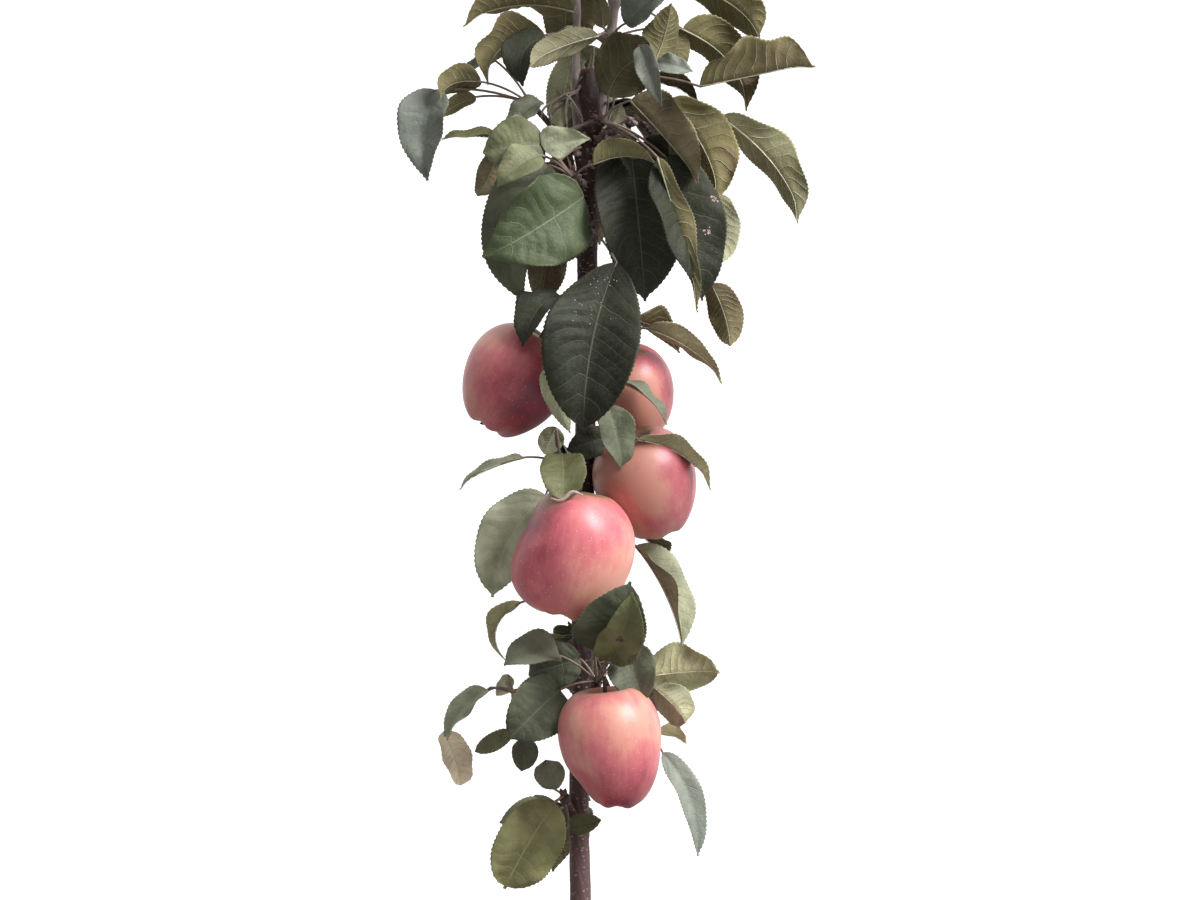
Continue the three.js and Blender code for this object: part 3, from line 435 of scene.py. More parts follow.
# a spur leaves the trunk at the height root and its leaves leave its crowns; each row is one leaf that shows:
# blade base x, y, z, tip x, y, z, then the leafFields
leafFields = ("width", "turn", "arch", "sweep", "fold", "foot", "point", "colouring")
spurs = {
    "spur_foot": {
        "root": 452, "seed": 3, "crowns": [[-14, -12, 470]],
        "rows": [
            [-20, -15, 475, -26, -24, 495, 22, 5, 2, 0, 22, 0.8, 0.35, "grey"],
            [-20, -20, 466, -53, -32, 411, 44, 0, 5, 2, 14, 0.5, 0.45, "lime"],
            [-26, -8, 461, -57, -3, 452, 24, 178, 2, 0, 20, 0.5, 0.8, "pale"],
            [-10, -13, 450, 11, -17, 455, 15, 10, 2, 0, 20, 0.5, 0.7, "olive"],
        ],
    },
    "spur_rosette": {
        "root": 528, "seed": 5, "crowns": [[8, -27, 547]],
        "fruit": {"centre": [17, -50, 504.5], "radius": 35, "height": 90, "axis": [-0.1, -0.06, 1]},
        "rows": [
            [-17, -36, 565, -53, -46, 560, 32, -45, 7, 0, 22, 0.5, 0.75, "grey"],
            [-3, -22, 562, -38, -16, 551, 34, -10, 4, 0, 20, 0.5, 0.6, "mid"],
            [6, -44, 569, 29, -92, 614, 48, -5, 8, 2, 15, 0.5, 0.6, "mid"],
            [15, -54, 563, 30.5, -106, 608, 31, -8, 4, 1, 22, 0.5, 0.7, "olive"],
            [28, -16, 559, 33, -8, 600, 21, 10, 4, -2, 22, 0.5, 0.7, "grey"],
            [30, -40, 568, 39, -56, 535, 34, -8, 5, 0, 20, 0.5, 0.7, "grey"],
            [-17, -36, 542, -49, -58, 512, 42, 0, 5, 1, 18, 0.4, 0.55, "mid"],
        ],
    },
    "spur_left_low": {
        "root": 512, "seed": 7, "crowns": [[-24, 6, 528], [-48, 3, 538], [-63, 1, 541]],
        "rows": [
            [-65, -2, 540, -93, -9, 508, 22, -50, 5.5, 0, 22, 0.5, 0.8, "silver"],
            [-94, -6, 512, -82, -6, 477, 23, 165, 6, 0, 30, 0.5, 0.45, "dried"],
            [-49, -3, 512, -73, -10, 500, 13, -10, 1, 0, 20, 0.5, 0.5, "light"],
            [-39, -12, 507, -42, -16, 487, 19, 0, 3, 0, 22, 0.5, 0.7, "mid"],
            [-51, 2, 550, -59, -2, 536, 12, 160, 3, 0, 22, 0.5, 0.8, "pale"],
        ],
    },
    "spur_right_low": {
        "root": 518, "seed": 11, "crowns": [[26, 14, 536]],
        "grow": {"count": 1, "bearing": 60, "spread": 30, "space": [2, 66, 460, 580]},
        "rows": [
            [43, 4, 549, 90, -4, 553, 38, 158, 4, 0, 18, 0.45, 0.7, "silver"],
            [47, -4, 541, 68, -16, 519, 27, 165, 4, 0, 24, 0.5, 0.6, "pale"],
            [49, 6, 511, 68, 3, 504, 18, 130, 3, 0, 24, 0.5, 0.8, "silver"],
            [52, 0, 498, 75, -10, 430, 19, 25, 4, -6, 20, 0.5, 0.7, "blue"],
        ],
    },
    "spur_left_mid": {
        "root": 588, "seed": 13, "crowns": [[-18, 14, 600]],
        "grow": {"count": 2, "bearing": 112, "spread": 50, "space": [-70, 10, 520, 670]},
        "rows": [
            [-43, 8, 598, -54, 0, 559, 22, -112, 12, 0, 22, 0.5, 0.85, "silver"],
        ],
    },
    "spur_right_mid": {
        "root": 626, "seed": 17, "crowns": [[20, 12, 640]],
        "grow": {"count": 4, "bearing": 65, "spread": 34, "space": [2, 60, 560, 700]},
        "rows": [
            [34, 2, 636, 65, -8, 569, 35, 60, 2, -3, 50, 0.5, 0.7, "pale"],
        ],
    },
    "spur_front_mid": {
        "root": 680, "seed": 19, "crowns": [[-16, -16, 691]],
        "fruit": {"centre": [-9, -52, 631], "radius": 40, "height": 97, "axis": [0.12, -0.04, 1]},
        "rows": [
            [-19, -18, 715, -27, -22, 697, 18, 175, 2, 0, 22, 0.5, 0.7, "pale"],
            [-15, -46, 697, -14, -84, 670, 31, 0, 4, 0, 15, 0.5, 0.32, "olive"],
            [-41, -18, 695, -85, -12, 676, 15, -70, 2, 0, 22, 0.5, 0.7, "silver"],
            [-26, -24, 670, -61, -36, 603, 43, -12, 4, 8, 16, 0.6, 0.7, "silver"],
        ],
    },
    "spur_right_front": {
        "root": 700, "seed": 23, "crowns": [[13, -13, 709]],
        "fruit": {"centre": [41, -13, 677], "radius": 34, "height": 80, "axis": [-0.32, -0.3, 1]},
        "rows": [
            [15, -40, 729, 25, -46, 687, 27, 22, 3, 0, 22, 0.5, 0.7, "mid"],
            [35, -44, 707, 85, -36, 677, 24, 112, 7, 0, 24, 0.5, 0.8, "silver"],
            [15, -20, 709, -12, -24, 700, 22, 0, 3, 0, 20, 0.5, 0.7, "dark"],
        ],
    },
    "spur_left_upper": {
        "root": 775, "seed": 29, "crowns": [[-15, -11, 788]],
        "fruit": {"centre": [-47.5, -12, 745], "radius": 34, "height": 80, "axis": [0.62, -0.05, 1]},
        "rows": [
            [-15, -20, 801, -41, -48, 768, 33, -40, 12, 0, 20, 0.6, 0.8, "dark"],
            [-27, -48, 752, -9, -50, 711, 15, 172, 3, 0, 22, 0.5, 0.8, "pale"],
        ],
    },
    "spur_right_upper": {
        "root": 766, "seed": 31, "crowns": [[14, 13, 776]],
        "grow": {"count": 1, "bearing": 50, "spread": 34, "space": [2, 66, 690, 840]},
        "fruit": {"centre": [30, 30, 738], "radius": 30, "height": 70, "axis": [-0.4, -0.4, 1]},
        "rows": [
            [23, -13, 745, 55, -14, 717, 17, 70, 5, 0, 22, 0.5, 0.8, "grey"],
            [42, 0, 781, 93, -14, 746, 22, 128, 6.5, 0, 20, 0.5, 1.2, "tan"],
        ],
    },
    "spur_front_upper": {
        "root": 842, "seed": 37, "crowns": [[3, -27, 847]],
        "rows": [
            [21, -42, 823, -1, -66, 712, 65, -5, 9, 3, 16, 0.8, 0.7, "dark"],
        ],
    },
    "spur_left_high": {
        "root": 872, "seed": 41, "crowns": [[-8, -15, 880]],
        "grow": {"count": 1, "bearing": 150, "spread": 30, "space": [-66, -5, 790, 900]},
        "rows": [
            [-27, -38, 900, -66, -52, 895, 40, -8, 4, 0, 14, 0.5, 0.6, "light"],
            [-30, -50, 893, -57, -60, 873, 26, -20, 4, 0, 20, 0.5, 0.8, "light"],
            [-27, -41, 897, 3, -47, 904, 25, 12, -3, -3, 22, 0.35, 1.1, "pale"],
            [-24, -12, 889, -43, -20, 798, 46, -20, 12, 8, 18, 0.5, 0.75, "mid"],
            [-1, -28, 867, -64, -58, 826, 60, 14, 5, 0, 10, 0.5, 0.85, "green"],
            [-22, 10, 846, -29, 6, 799, 28, 178, 4, 0, 22, 0.5, 0.6, "brown"],
            [6, -37, 888, 46, -50, 888, 28, 115, 6, 0, 28, 0.5, 0.8, "moss"],
            [-13, 6, 900, -25, 4, 866, 20, 170, 2, 0, 22, 0.5, 0.7, "brown"],
        ],
    },
    "spur_left_top": {
        "root": 897, "seed": 43, "crowns": [[-13, -6, 903], [-36, -5, 930]],
        "rows": [
            [-60, 17, 961, -84, 15, 952, 12, -45, 3, 0, 22, 0.5, 0.8, "grey"],
            [-69, -16, 944, -96, -26, 932, 24, -140, 10, 0, 24, 0.5, 0.8, "moss"],
            [-99, -8, 939, -104, -18, 878, 37, -20, 7, 4, 24, 0.5, 0.9, "blue"],
            [-73, -4, 935, -97, -2, 921, 13, -150, 5, 0, 22, 0.5, 0.8, "moss"],
            [-53, -14, 907, -95, -20, 907, 16, -66, 1, 0, 22, 0.5, 0.7, "moss"],
            [-29, -14, 931, -50, -24, 908, 20, -30, 5, 0, 22, 0.5, 0.7, "grey"],
            [-57, -2, 900, -71, -6, 868, 22, 168, 4, 0, 22, 0.5, 0.6, "brown"],
        ],
    },
    "spur_front_top": {
        "root": 905, "seed": 47, "crowns": [[10, -17, 918]],
        "rows": [
            [30, -34, 930, 76, -62, 874, 46, 122, 2, 0, 32, 0.5, 0.7, "brown"],
            [30, -15, 904, 40, -22, 798, 60, 12, 8, 0, 14, 0.5, 0.65, "dark"],
            [48, -50, 891, 77, -56, 790, 20, 130, 4, 4, 24, 0.5, 0.8, "moss"],
            [53, -36, 893, 80, -42, 799, 50, 25, 8, 0, 18, 0.5, 0.65, "dark"],
            [40, -6, 906, 80, -10, 868, 34, -15, 8, 0, 20, 0.5, 0.7, "dark"],
        ],
    },
    "spur_right_top": {
        "root": 908, "seed": 53, "crowns": [[36, 8, 922], [60, 6, 890], [74, 4, 848]],
        "grow": {"count": 4, "bearing": 60, "spread": 30, "space": [10, 96, 840, 960]},
        "rows": [
            [91, 10, 923, 145, -6, 852, 35, 140, 17, 0, 22, 0.6, 0.75, "light"],
            [55, -10, 932, 88, -28, 863, 44, 145, 17, 0, 24, 0.5, 0.7, "moss"],
            [33, 12, 944, 77, 16, 931, 33, 100, 8, 0, 22, 0.5, 0.8, "dark"],
            [88, 6, 871, 88, 0, 823, 25, 150, 5, -1, 22, 0.5, 0.6, "pale"],
            [84, 0, 811, 97, -4, 769, 25, 160, 5, 0, 20, 0.5, 0.6, "moss"],
        ],
    },
    "spur_back_foot": {
        "root": 446, "seed": 59, "crowns": [[-2, 16, 456]],
        "grow": {"count": 3, "bearing": 105, "spread": 30, "space": [-60, 6, 400, 500]},
    },
    "spur_back_low": {
        "root": 556, "seed": 61, "crowns": [[4, 16, 566]],
        "grow": {"count": 5, "bearing": 90, "spread": 38, "space": [-50, 52, 500, 610]},
        "fruit": {"centre": [16, 46, 505], "radius": 30, "height": 66, "axis": [0, -0.06, 1]},
    },
    "spur_back_mid": {
        "root": 662, "seed": 67, "crowns": [[-4, 17, 672]],
        "grow": {"count": 4, "bearing": 88, "spread": 40, "space": [-30, 58, 590, 720]},
        "fruit": {"centre": [-8, 50, 628], "radius": 35, "height": 78, "axis": [0.05, -0.1, 1]},
    },
    "spur_back_upper": {
        "root": 738, "seed": 71, "crowns": [[-8, 15, 750]],
        "grow": {"count": 5, "bearing": 110, "spread": 42, "space": [-70, 50, 690, 800]},
    },
    "spur_back_high": {
        "root": 866, "seed": 73, "crowns": [[7, 16, 879]],
        "grow": {"count": 3, "bearing": 88, "spread": 50, "space": [-62, 66, 780, 900]},
        "fruit": {"centre": [38, 43, 851], "radius": 25, "height": 56, "axis": [0, -0.1, 1]},
    },
    "spur_back_top": {
        "root": 902, "seed": 89, "crowns": [[1, 18, 916]],
        "grow": {"count": 6, "bearing": 90, "spread": 75, "space": [-26, 85, 880, 990]},
        "rows": [
            [-8, 26, 966, -19, 32, 914, 26, 180, 3, 0, 22, 0.5, 0.7, "pale"],
            [6, 28, 972, -1, 38, 946, 22, 175, 2, 0, 22, 0.5, 0.7, "pale"],
            [-14, 30, 985, -2, 34, 958, 24, 180, 2, 0, 22, 0.5, 0.7, "pale"],
            [18, 24, 915, 24, 30, 934, 16, 180, 1, 0, 22, 0.5, 0.7, "pale"],
        ],
    },
}

leaderMasses = {
    "crown_left": {
        "onLeader": "leader_left", "seed": 79, "side": -1, "leaves": 34,
        "rows": [
            [-7, 6, 993, -82, 0, 985, 50, -115, 10, 0, 22, 0.6, 0.6, "moss"],
            [-27, -4, 976, -66, -12, 943, 40, -120, 15, 0, 22, 0.5, 0.75, "moss"],
            [-26, -16, 973, -41, -26, 940, 30, -30, 8, 5, 20, 0.5, 0.8, "dark"],
        ],
    },
    "crown_right": {
        "onLeader": "leader_right", "seed": 83, "side": 1, "leaves": 40,
        "rows": [
            [9, -30, 973, -38, -54, 951, 20, -150, 5, 0, 20, 0.5, 0.6, "grey"],
            [15, -20, 934, 46, -48, 953, 45, 165, 7, -8, 22, 0.5, 0.6, "dark"],
            [12, -6, 981, 9, -10, 1004, 13, 175, 2, 0, 22, 0.5, 0.7, "dark"],
            [27, -12, 983, 58, -20, 1008, 24, 20, 5, 0, 22, 0.5, 0.8, "blue"],
            [46, -22, 957, 57, -26, 995, 27, 158, 4, 3, 22, 0.5, 0.75, "moss"],
            [70, 10, 1010, 117, -2, 975, 42, 140, 12, 0, 22, 0.5, 0.75, "moss"],
            [65, 4, 981, 109, -4, 926, 39, 140, 13, -4, 22, 0.5, 0.8, "moss"],
            [76, -16, 941, 152, -28, 956, 52, 115, -3, -3, 36, 0.75, 0.6, "moss"],
            [56, 4, 984, 64, 4, 951, 22, 170, 3, 0, 20, 0.5, 0.75, "moss"],
            [36, -40, 965, 49, -52, 925, 17, -20, 5, -2, 24, 0.5, 0.8, "blue"],
            [47, -38, 954, 71, -44, 948, 15, 20, 3, 0, 20, 0.5, 0.8, "blue"],
        ],
    },
}

everyFruit = [plan["fruit"] for plan in spurs.values() if "fruit" in plan]


def trunkAt(z):
    # middle and radius of the stem at heights z, blended smoothly between rows of the table
    z = np.asarray(z, float)
    i = np.clip(np.searchsorted(trunkTable[:, 0], z) - 1, 0, len(trunkTable) - 2)
    low, high = trunkTable[i], trunkTable[i + 1]
    row = lerp(low, high, smooth(low[..., 0], high[..., 0], z)[..., None])
    return np.stack([row[..., 1], row[..., 2], z], -1), row[..., 3]


def leafFrame(leaf):
    # along the blade, its upper face's normal and its side; a posed leaf's turn starts facing the front
    along = leaf["tip"] - leaf["base"]
    length = np.linalg.norm(along)
    along = along / length
    facing = zAxis if leaf["skyward"] else viewer
    facing = unit(facing - along * (facing @ along))
    turn = math.radians(leaf["turn"])
    across = np.cross(along, facing)
    normal = facing * math.cos(turn) - across * math.sin(turn)
    return {"base": leaf["base"], "along": along, "length": length, "normal": normal, "across": across}


def halfWidth(leaf, u):
    # u^a (1-u)^b scaled to the leaf's width: the smaller each power, the blunter that end
    a, b = leaf["foot"], leaf["point"]
    peak = a / (a + b)
    return leaf["width"] / 2 * u ** a * (1 - u) ** b / (peak ** a * (1 - peak) ** b)


def midribOf(leaf, shape, u):
    # the midrib bulges by 4u(1-u): arch towards the upper face, sweep towards its left
    bend = shape["normal"] * leaf["arch"] + shape["across"] * leaf["sweep"]
    straight = shape["base"] + shape["along"] * (shape["length"] * u)[..., None]
    middle = straight + bend * (4 * u * (1 - u))[..., None]
    tangent = unit(shape["along"] * shape["length"] + bend * (4 * (1 - 2 * u))[..., None])
    normal = unit(shape["normal"] - tangent * (tangent @ shape["normal"])[..., None])
    return middle, np.cross(tangent, normal), normal


def leafPoints(leaf, shape, u, v):
    # the halves rise from the midrib as a shallow V
    middle, side, normal = midribOf(leaf, shape, u)
    fold, reach = math.radians(leaf["fold"]), halfWidth(leaf, u)
    return (middle + side * (v * reach * math.cos(fold))[..., None]
            + normal * (np.abs(v) * reach * math.sin(fold))[..., None])


def grownLeaf(draw, crown, angle, rise, size):
    # the stalk leaves the crown at an angle and the blade hangs on outwards
    rule = leafRule
    stalk = draw(*rule["stalk"]) * size
    base = crown + unit(polar(1, angle, rise)) * stalk
    heading = angle + draw(*rule["veer"])
    tip = base + unit(polar(1, heading, draw(*rule["dip"]) + rule["dipPerRise"] * rise)) * size
    return {"crown": crown, "base": base, "tip": tip, "skyward": True, "width": size * draw(*rule["width"]),
            "turn": draw(*rule["turn"]), "arch": size * draw(*rule["arch"]), "sweep": 0,
            "fold": draw(*rule["fold"]), "foot": rule["foot"], "point": rule["point"]}


def leafSamples(leaf):
    # points all over a blade, at its ends and on its stalk
    u, v = np.meshgrid([0.18, 0.38, 0.58, 0.78], [-1, -0.5, 0, 0.5, 1], indexing="ij")
    blade = leafPoints(leaf, leafFrame(leaf), u, v).reshape(-1, 3)
    return np.vstack([lerp(leaf["crown"], leaf["base"], 0.6), leaf["base"], leaf["tip"], blade])


def offWoodAndFruit(p):
    # clear of the trunk, or above its top, and of a ball round each fruit
    middle, radius = trunkAt(p[:, 2])
    away = np.hypot(*(p - middle)[:, :2].T) > radius + clearances["wood"]
    if not np.all(away | (p[:, 2] > trunkTop + clearances["wood"])):
        return False
    for fruit in everyFruit:
        reach = max(fruit["radius"], fruit["height"] / 2) + clearances["fruit"]
        if np.any(np.linalg.norm(p - fruit["centre"], axis=1) <= reach):
            return False
    return True


def nearest(points, point):
    # the number of the point at the least distance
    return int(np.argmin(np.linalg.norm(points - point, axis=1)))


def leaderStem(name):
    # the stem of a leader's mass carries on from the leader's tip
    before, tip = np.array(leaders[name]["path"][-2:], float)
    start = tip + unit(tip - before) * seatGap
    return throughPoints([start, *leaders[name]["onward"]], growth["stemSteps"] + 1)


def isInSpace(p, plan):
    # inside the spur's own box in x and z
    lowX, highX, lowZ, highZ = plan["grow"]["space"]
    return np.all((p[:, 0] > lowX) & (p[:, 0] < highX) & (p[:, 2] > lowZ) & (p[:, 2] < highZ))


def isOnSide(p, plan):
    # on the leader's own side of an upright plane between the two, and above or behind the leaves that show
    beside = plan["side"] * (p[:, 0] - p[:, 1] - growth["planeOffset"]) > growth["planeGap"]
    tucked = (p[:, 1] > growth["behind"]) & (np.abs(p[:, 0]) < growth["reach"])
    return np.all(beside & (tucked | (p[:, 2] > growth["frontFloor"])))


def growMasses():
    # the leaves that show first, then the seeded ones, each kept clear of what is there
    masses, takenPoints, takenBy = {}, [], []
    everyMass = {**spurs, **leaderMasses}
    names = list(everyMass)

    def take(name, leaf):
        # keeps a leaf and its sample points
        masses[name]["leaves"].append(leaf)
        takenPoints.append(leafSamples(leaf))
        takenBy.append(np.full(len(takenPoints[-1]), names.index(name)))

    def tryLeaf(name, crown, angle, rise, size, isInside):
        # a seeded leaf stays if it is inside, off the wood and fruit and clear of every other mass
        leaf = grownLeaf(masses[name]["draw"], crown, angle, rise, size)
        samples = leafSamples(leaf)
        if isInside(samples, everyMass[name]) and offWoodAndFruit(samples):
            others = np.vstack(takenPoints)[np.concatenate(takenBy) != names.index(name)]
            gaps = np.linalg.norm(others[None] - samples[:, None], axis=2)
            if gaps.min() > clearances["leaf"]:
                take(name, leaf)

    for name, plan in everyMass.items():
        crowns = leaderStem(plan["onLeader"])[1:] if "onLeader" in plan else np.array(plan["crowns"], float)
        masses[name] = {"draw": chance(plan["seed"]), "crowns": crowns, "leaves": []}
        for row in plan.get("rows", ()):
            base, tip = vec(*row[:3]), vec(*row[3:6])
            leaf = {"crown": crowns[nearest(crowns, base)], "base": base, "tip": tip, "skyward": False}
            take(name, {**leaf, **dict(zip(leafFields, row[6:]))})
    for name, plan in spurs.items():
        if "grow" not in plan:
            continue
        mass, rule = masses[name], plan["grow"]
        draw, wanted = mass["draw"], len(mass["leaves"]) + rule["count"]
        for _ in range(growth["tries"]):
            if len(mass["leaves"]) >= wanted:
                break
            angle = math.radians(rule["bearing"] + draw(-rule["spread"], rule["spread"]))
            rise, size = draw(*growth["rise"]), draw(*growth["size"])
            tryLeaf(name, mass["crowns"][0], angle, rise, size, isInSpace)
    for name, plan in leaderMasses.items():
        draw, stem, steps = masses[name]["draw"], leaderStem(plan["onLeader"]), growth["stemSteps"]
        for i in range(plan["leaves"]):
            share = (i + 0.5) / plan["leaves"]
            angle = math.radians(growth["goldenAngle"] * i) + draw(*growth["turnJitter"])
            size = lerp(*growth["leaderSize"], share ** growth["sizePower"]) * draw(*growth["sizeJitter"])
            place = min(lerp(growth["leaderStart"], 1, share) * steps, steps - 1e-6)
            crown = lerp(stem[int(place)], stem[int(place) + 1], place - int(place))
            tryLeaf(name, crown, angle, lerp(*growth["leaderRise"], share), size, isOnSide)
    return masses


masses = growMasses()
print("grown:", sum(len(m["leaves"]) for m in masses.values()), "leaves in", len(masses), "masses")


# the blade's grid and skins, its teeth and point, its ridges and the course of its side veins, then its finish
leafLooks = {
    "across": 15, "grownAcross": 9, "thickness": 0.45, "marginPower": 8,
    "toothPitch": 2.6, "toothDepth": 0.78, "fewestTeeth": 8, "mostTeeth": 40, "toothFrom": 0.15,
    "toothTo": 0.85, "fullLength": 60, "fullRib": 70, "bladeEnd": 0.965, "pointWidth": 1.9,
    "pucker": 0.75, "puckerWidth": 45,
    "veinFrom": 0.05, "veinSpan": 0.86, "veinSweep": 0.2, "veinPower": 1.35, "stray": 0.34, "stagger": 0.4,
    "broadScale": 24.0, "mottleScale": 60.0, "rustScale": 15.0, "wanderScale": 70.0, "netScale": 430.0,
    "lumpScale": 240.0, "bump": 0.6, "bumpDepth": 0.0011,
    "rustTint": (1.12, 0.86, 0.78), "veinTint": (0.44, 0.43, 0.32), "rustOnPale": 0.15,
}
# the ranges from which each leaf's style is drawn, in this order; lean is a share of its length
leafStyle = {
    "tipDrop": (0.0, 0.10), "twist": (-0.35, 0.35), "wave": (0.05, 0.14), "waves": (1.4, 2.8),
    "phase": (0, 1), "lean": (-0.025, 0.025), "billow": (0.03, 0.085), "veins": (7, 10),
    "crowding": (0.0, 0.035),
}
# ribs raised under the blade, in millimetres: radius at foot and tip, depth under the middle skin, sides
ribs = {
    "midrib": {"radii": (0.66, 0.14), "depth": 0.62, "sides": 5, "steps": 14, "end": 0.985},
    "side": {"radii": (0.25, 0.08), "depth": 0.36, "sides": 3, "steps": 7, "grownSteps": 4, "end": 0.965},
}
leafStalk = {"lift": 0.14, "steps": 9, "radii": [1.5, 1.15, *[0.85] * 6, 0.8, 0.55], "sides": 6}
# roughness, gloss, most rust, strength of the side veins, share of vein colour and height of the veins
faceLooks = {"upper": (0.5, 0.2, 0.25, 0.6, 0.34, -0.6), "under": (0.75, 0.15, 0.7, 1.0, 0.46, 0.6)}
# gloss and share of vein colour of the upper faces that differ
upperGloss = {"dark": 0.14, "green": 0.26, "light": 0.3, "olive": 0.26}
upperShare = {"lime": 0.6, "green": 0.6}
paleKinds = ("lime", "silver", "pale", "light", "dried")
grownKinds = ("dark", "dark", "mid", "mid", "moss", "green", "grey", "light")
# the veins under the darkest leaves are dim, those under pale ones pale and the rest light
veinsOf = {"dark": "dim", "brown": "dim", **{kind: "pale" for kind in paleKinds}}
# upper and under colour of each colouring; lime and silver are painted light, paler than those leaves are to
# make up for the shade they sit in
leafColours = {
    "dark": ((0.027, 0.030, 0.019), (0.110, 0.096, 0.050)),
    "mid": ((0.088, 0.097, 0.062), (0.150, 0.135, 0.075)),
    "olive": ((0.108, 0.112, 0.048), (0.150, 0.135, 0.066)),
    "moss": ((0.165, 0.162, 0.074), (0.190, 0.165, 0.079)),
    "green": ((0.052, 0.069, 0.031), (0.180, 0.170, 0.088)),
    "light": ((0.142, 0.149, 0.078), (0.275, 0.260, 0.150)),
    "grey": ((0.130, 0.138, 0.096), (0.185, 0.172, 0.104)),
    "blue": ((0.165, 0.182, 0.152), (0.215, 0.205, 0.130)),
    "pale": ((0.260, 0.268, 0.180), (0.330, 0.335, 0.215)),
    "lime": ((0.285, 0.285, 0.125), (0.330, 0.310, 0.150)),
    "silver": ((0.430, 0.455, 0.310), (0.470, 0.480, 0.280)),
    "brown": ((0.070, 0.058, 0.034), (0.160, 0.127, 0.076)),
    "tan": ((0.205, 0.182, 0.108), (0.310, 0.268, 0.160)),
    "dried": ((0.690, 0.580, 0.410), (0.710, 0.600, 0.430)),
}


def leafMaterial(kind, face):
    # mottled blade, paler along midrib and side veins, with a painted rim highlight along the margin; the
    # veins follow the ridges of the mesh
    roughness, gloss, mostRust, sideStrength, veinShare, rise = faceLooks[face]
    upper, under = leafColours[kind]
    colour = upper if face == "upper" else under
    if face == "upper":
        gloss, veinShare = upperGloss.get(kind, gloss), upperShare.get(kind, veinShare)
    sockets = {"Roughness": roughness, "Specular IOR Level": gloss}
    material, tree, shader = newMaterial(f"leaf_{kind}_{face}", colour, sockets)
    place = objectPlace(tree)
    parts = split(tree, ownAttribute(tree, "leafPlace"))
    aside = maths(tree, "ABSOLUTE", parts["Y"])
    broad = maths(tree, "MULTIPLY", noise(tree, place, leafLooks["broadScale"], 2.0), 0.5)
    mottle = maths(tree, "MULTIPLY_ADD", noise(tree, place, leafLooks["mottleScale"], 4.0), 0.5, broad)
    patches = maths(tree, "MULTIPLY_ADD", parts["Z"], 0.18, mottle)
    plain = ramp(tree, patches, [(0.40, tint(colour, 0.55)), (0.57, colour), (0.76, tint(colour, 1.6))])
    mostRust = leafLooks["rustOnPale"] if kind in paleKinds else mostRust
    rust = band(tree, noise(tree, place, leafLooks["rustScale"]), 0.50, 0.66, mostRust)
    grey = sum(colour) / 3
    rusty = tuple(lerp(grey, c, 0.5) * share for c, share in zip(colour, leafLooks["rustTint"]))
    body = mixColour(tree, rust, plain, rusty)
    wander = maths(tree, "MULTIPLY_ADD", noise(tree, place, leafLooks["wanderScale"], 2.0), 0.36, -0.18)
    apart = maths(tree, "PINGPONG", maths(tree, "ADD", parts["X"], wander), 0.5)
    fromMargin = band(tree, aside, 0.97, 0.6)
    sideVeins = maths(tree, "MULTIPLY", band(tree, apart, 0.05, 0.008, sideStrength), fromMargin)
    # the pale midrib line is its own colour; the pale band along the margin is a painted rim highlight
    midribAndRimLight = maths(tree, "MAXIMUM", band(tree, aside, 0.026, 0.008), band(tree, aside, 0.955, 0.99, 0.8))
    net = band(tree, cells(tree, place, leafLooks["netScale"], "DISTANCE_TO_EDGE"), 0.09, 0.0, 0.2)
    veins = maths(tree, "MAXIMUM", maths(tree, "MAXIMUM", sideVeins, midribAndRimLight), net)
    veinColour = tuple(lerp(1.5 * c, goal, 0.5) for c, goal in zip(colour, leafLooks["veinTint"]))
    painted = mixColour(tree, maths(tree, "MULTIPLY", veins, veinShare), body, veinColour)
    lumps = noise(tree, place, leafLooks["lumpScale"])
    height = maths(tree, "MULTIPLY_ADD", maths(tree, "MAXIMUM", sideVeins, net), rise, lumps)
    dress(tree, shader, painted, height, leafLooks["bump"], leafLooks["bumpDepth"])
    return material


def veinAt(leaf, u, v):
    # counts the side veins: they curve forwards to the margin, stray a little and alternate between the halves
    style, looks = leaf["style"], leafLooks
    eased = u + style["crowding"] * np.sin(math.pi * u) * np.cos(tau * (0.8 * u + style["phase"]))
    stray = looks["stray"] * np.sin(math.pi * u) * np.sin(tau * (1.7 * u + 0.45 * v + style["phase"]))
    swept = looks["veinSweep"] * (np.abs(v) / 0.95) ** looks["veinPower"] * (1 - 0.5 * u)
    counted = (eased - looks["veinFrom"] - swept) / looks["veinSpan"] * style["veins"]
    return counted + stray + looks["stagger"] * (v > 0)


def bladeOutline(leaf, u):
    # the plain outline shortened a little, with a small straight-sided point beyond it
    plain = halfWidth(leaf, np.clip(u / leafLooks["bladeEnd"], 0.0, 1.0))
    point = leafLooks["pointWidth"] * np.clip(1 - u, 0, 1) * leaf["width"] / 2
    return np.maximum(plain, point * smooth(0.3, 0.8, u))


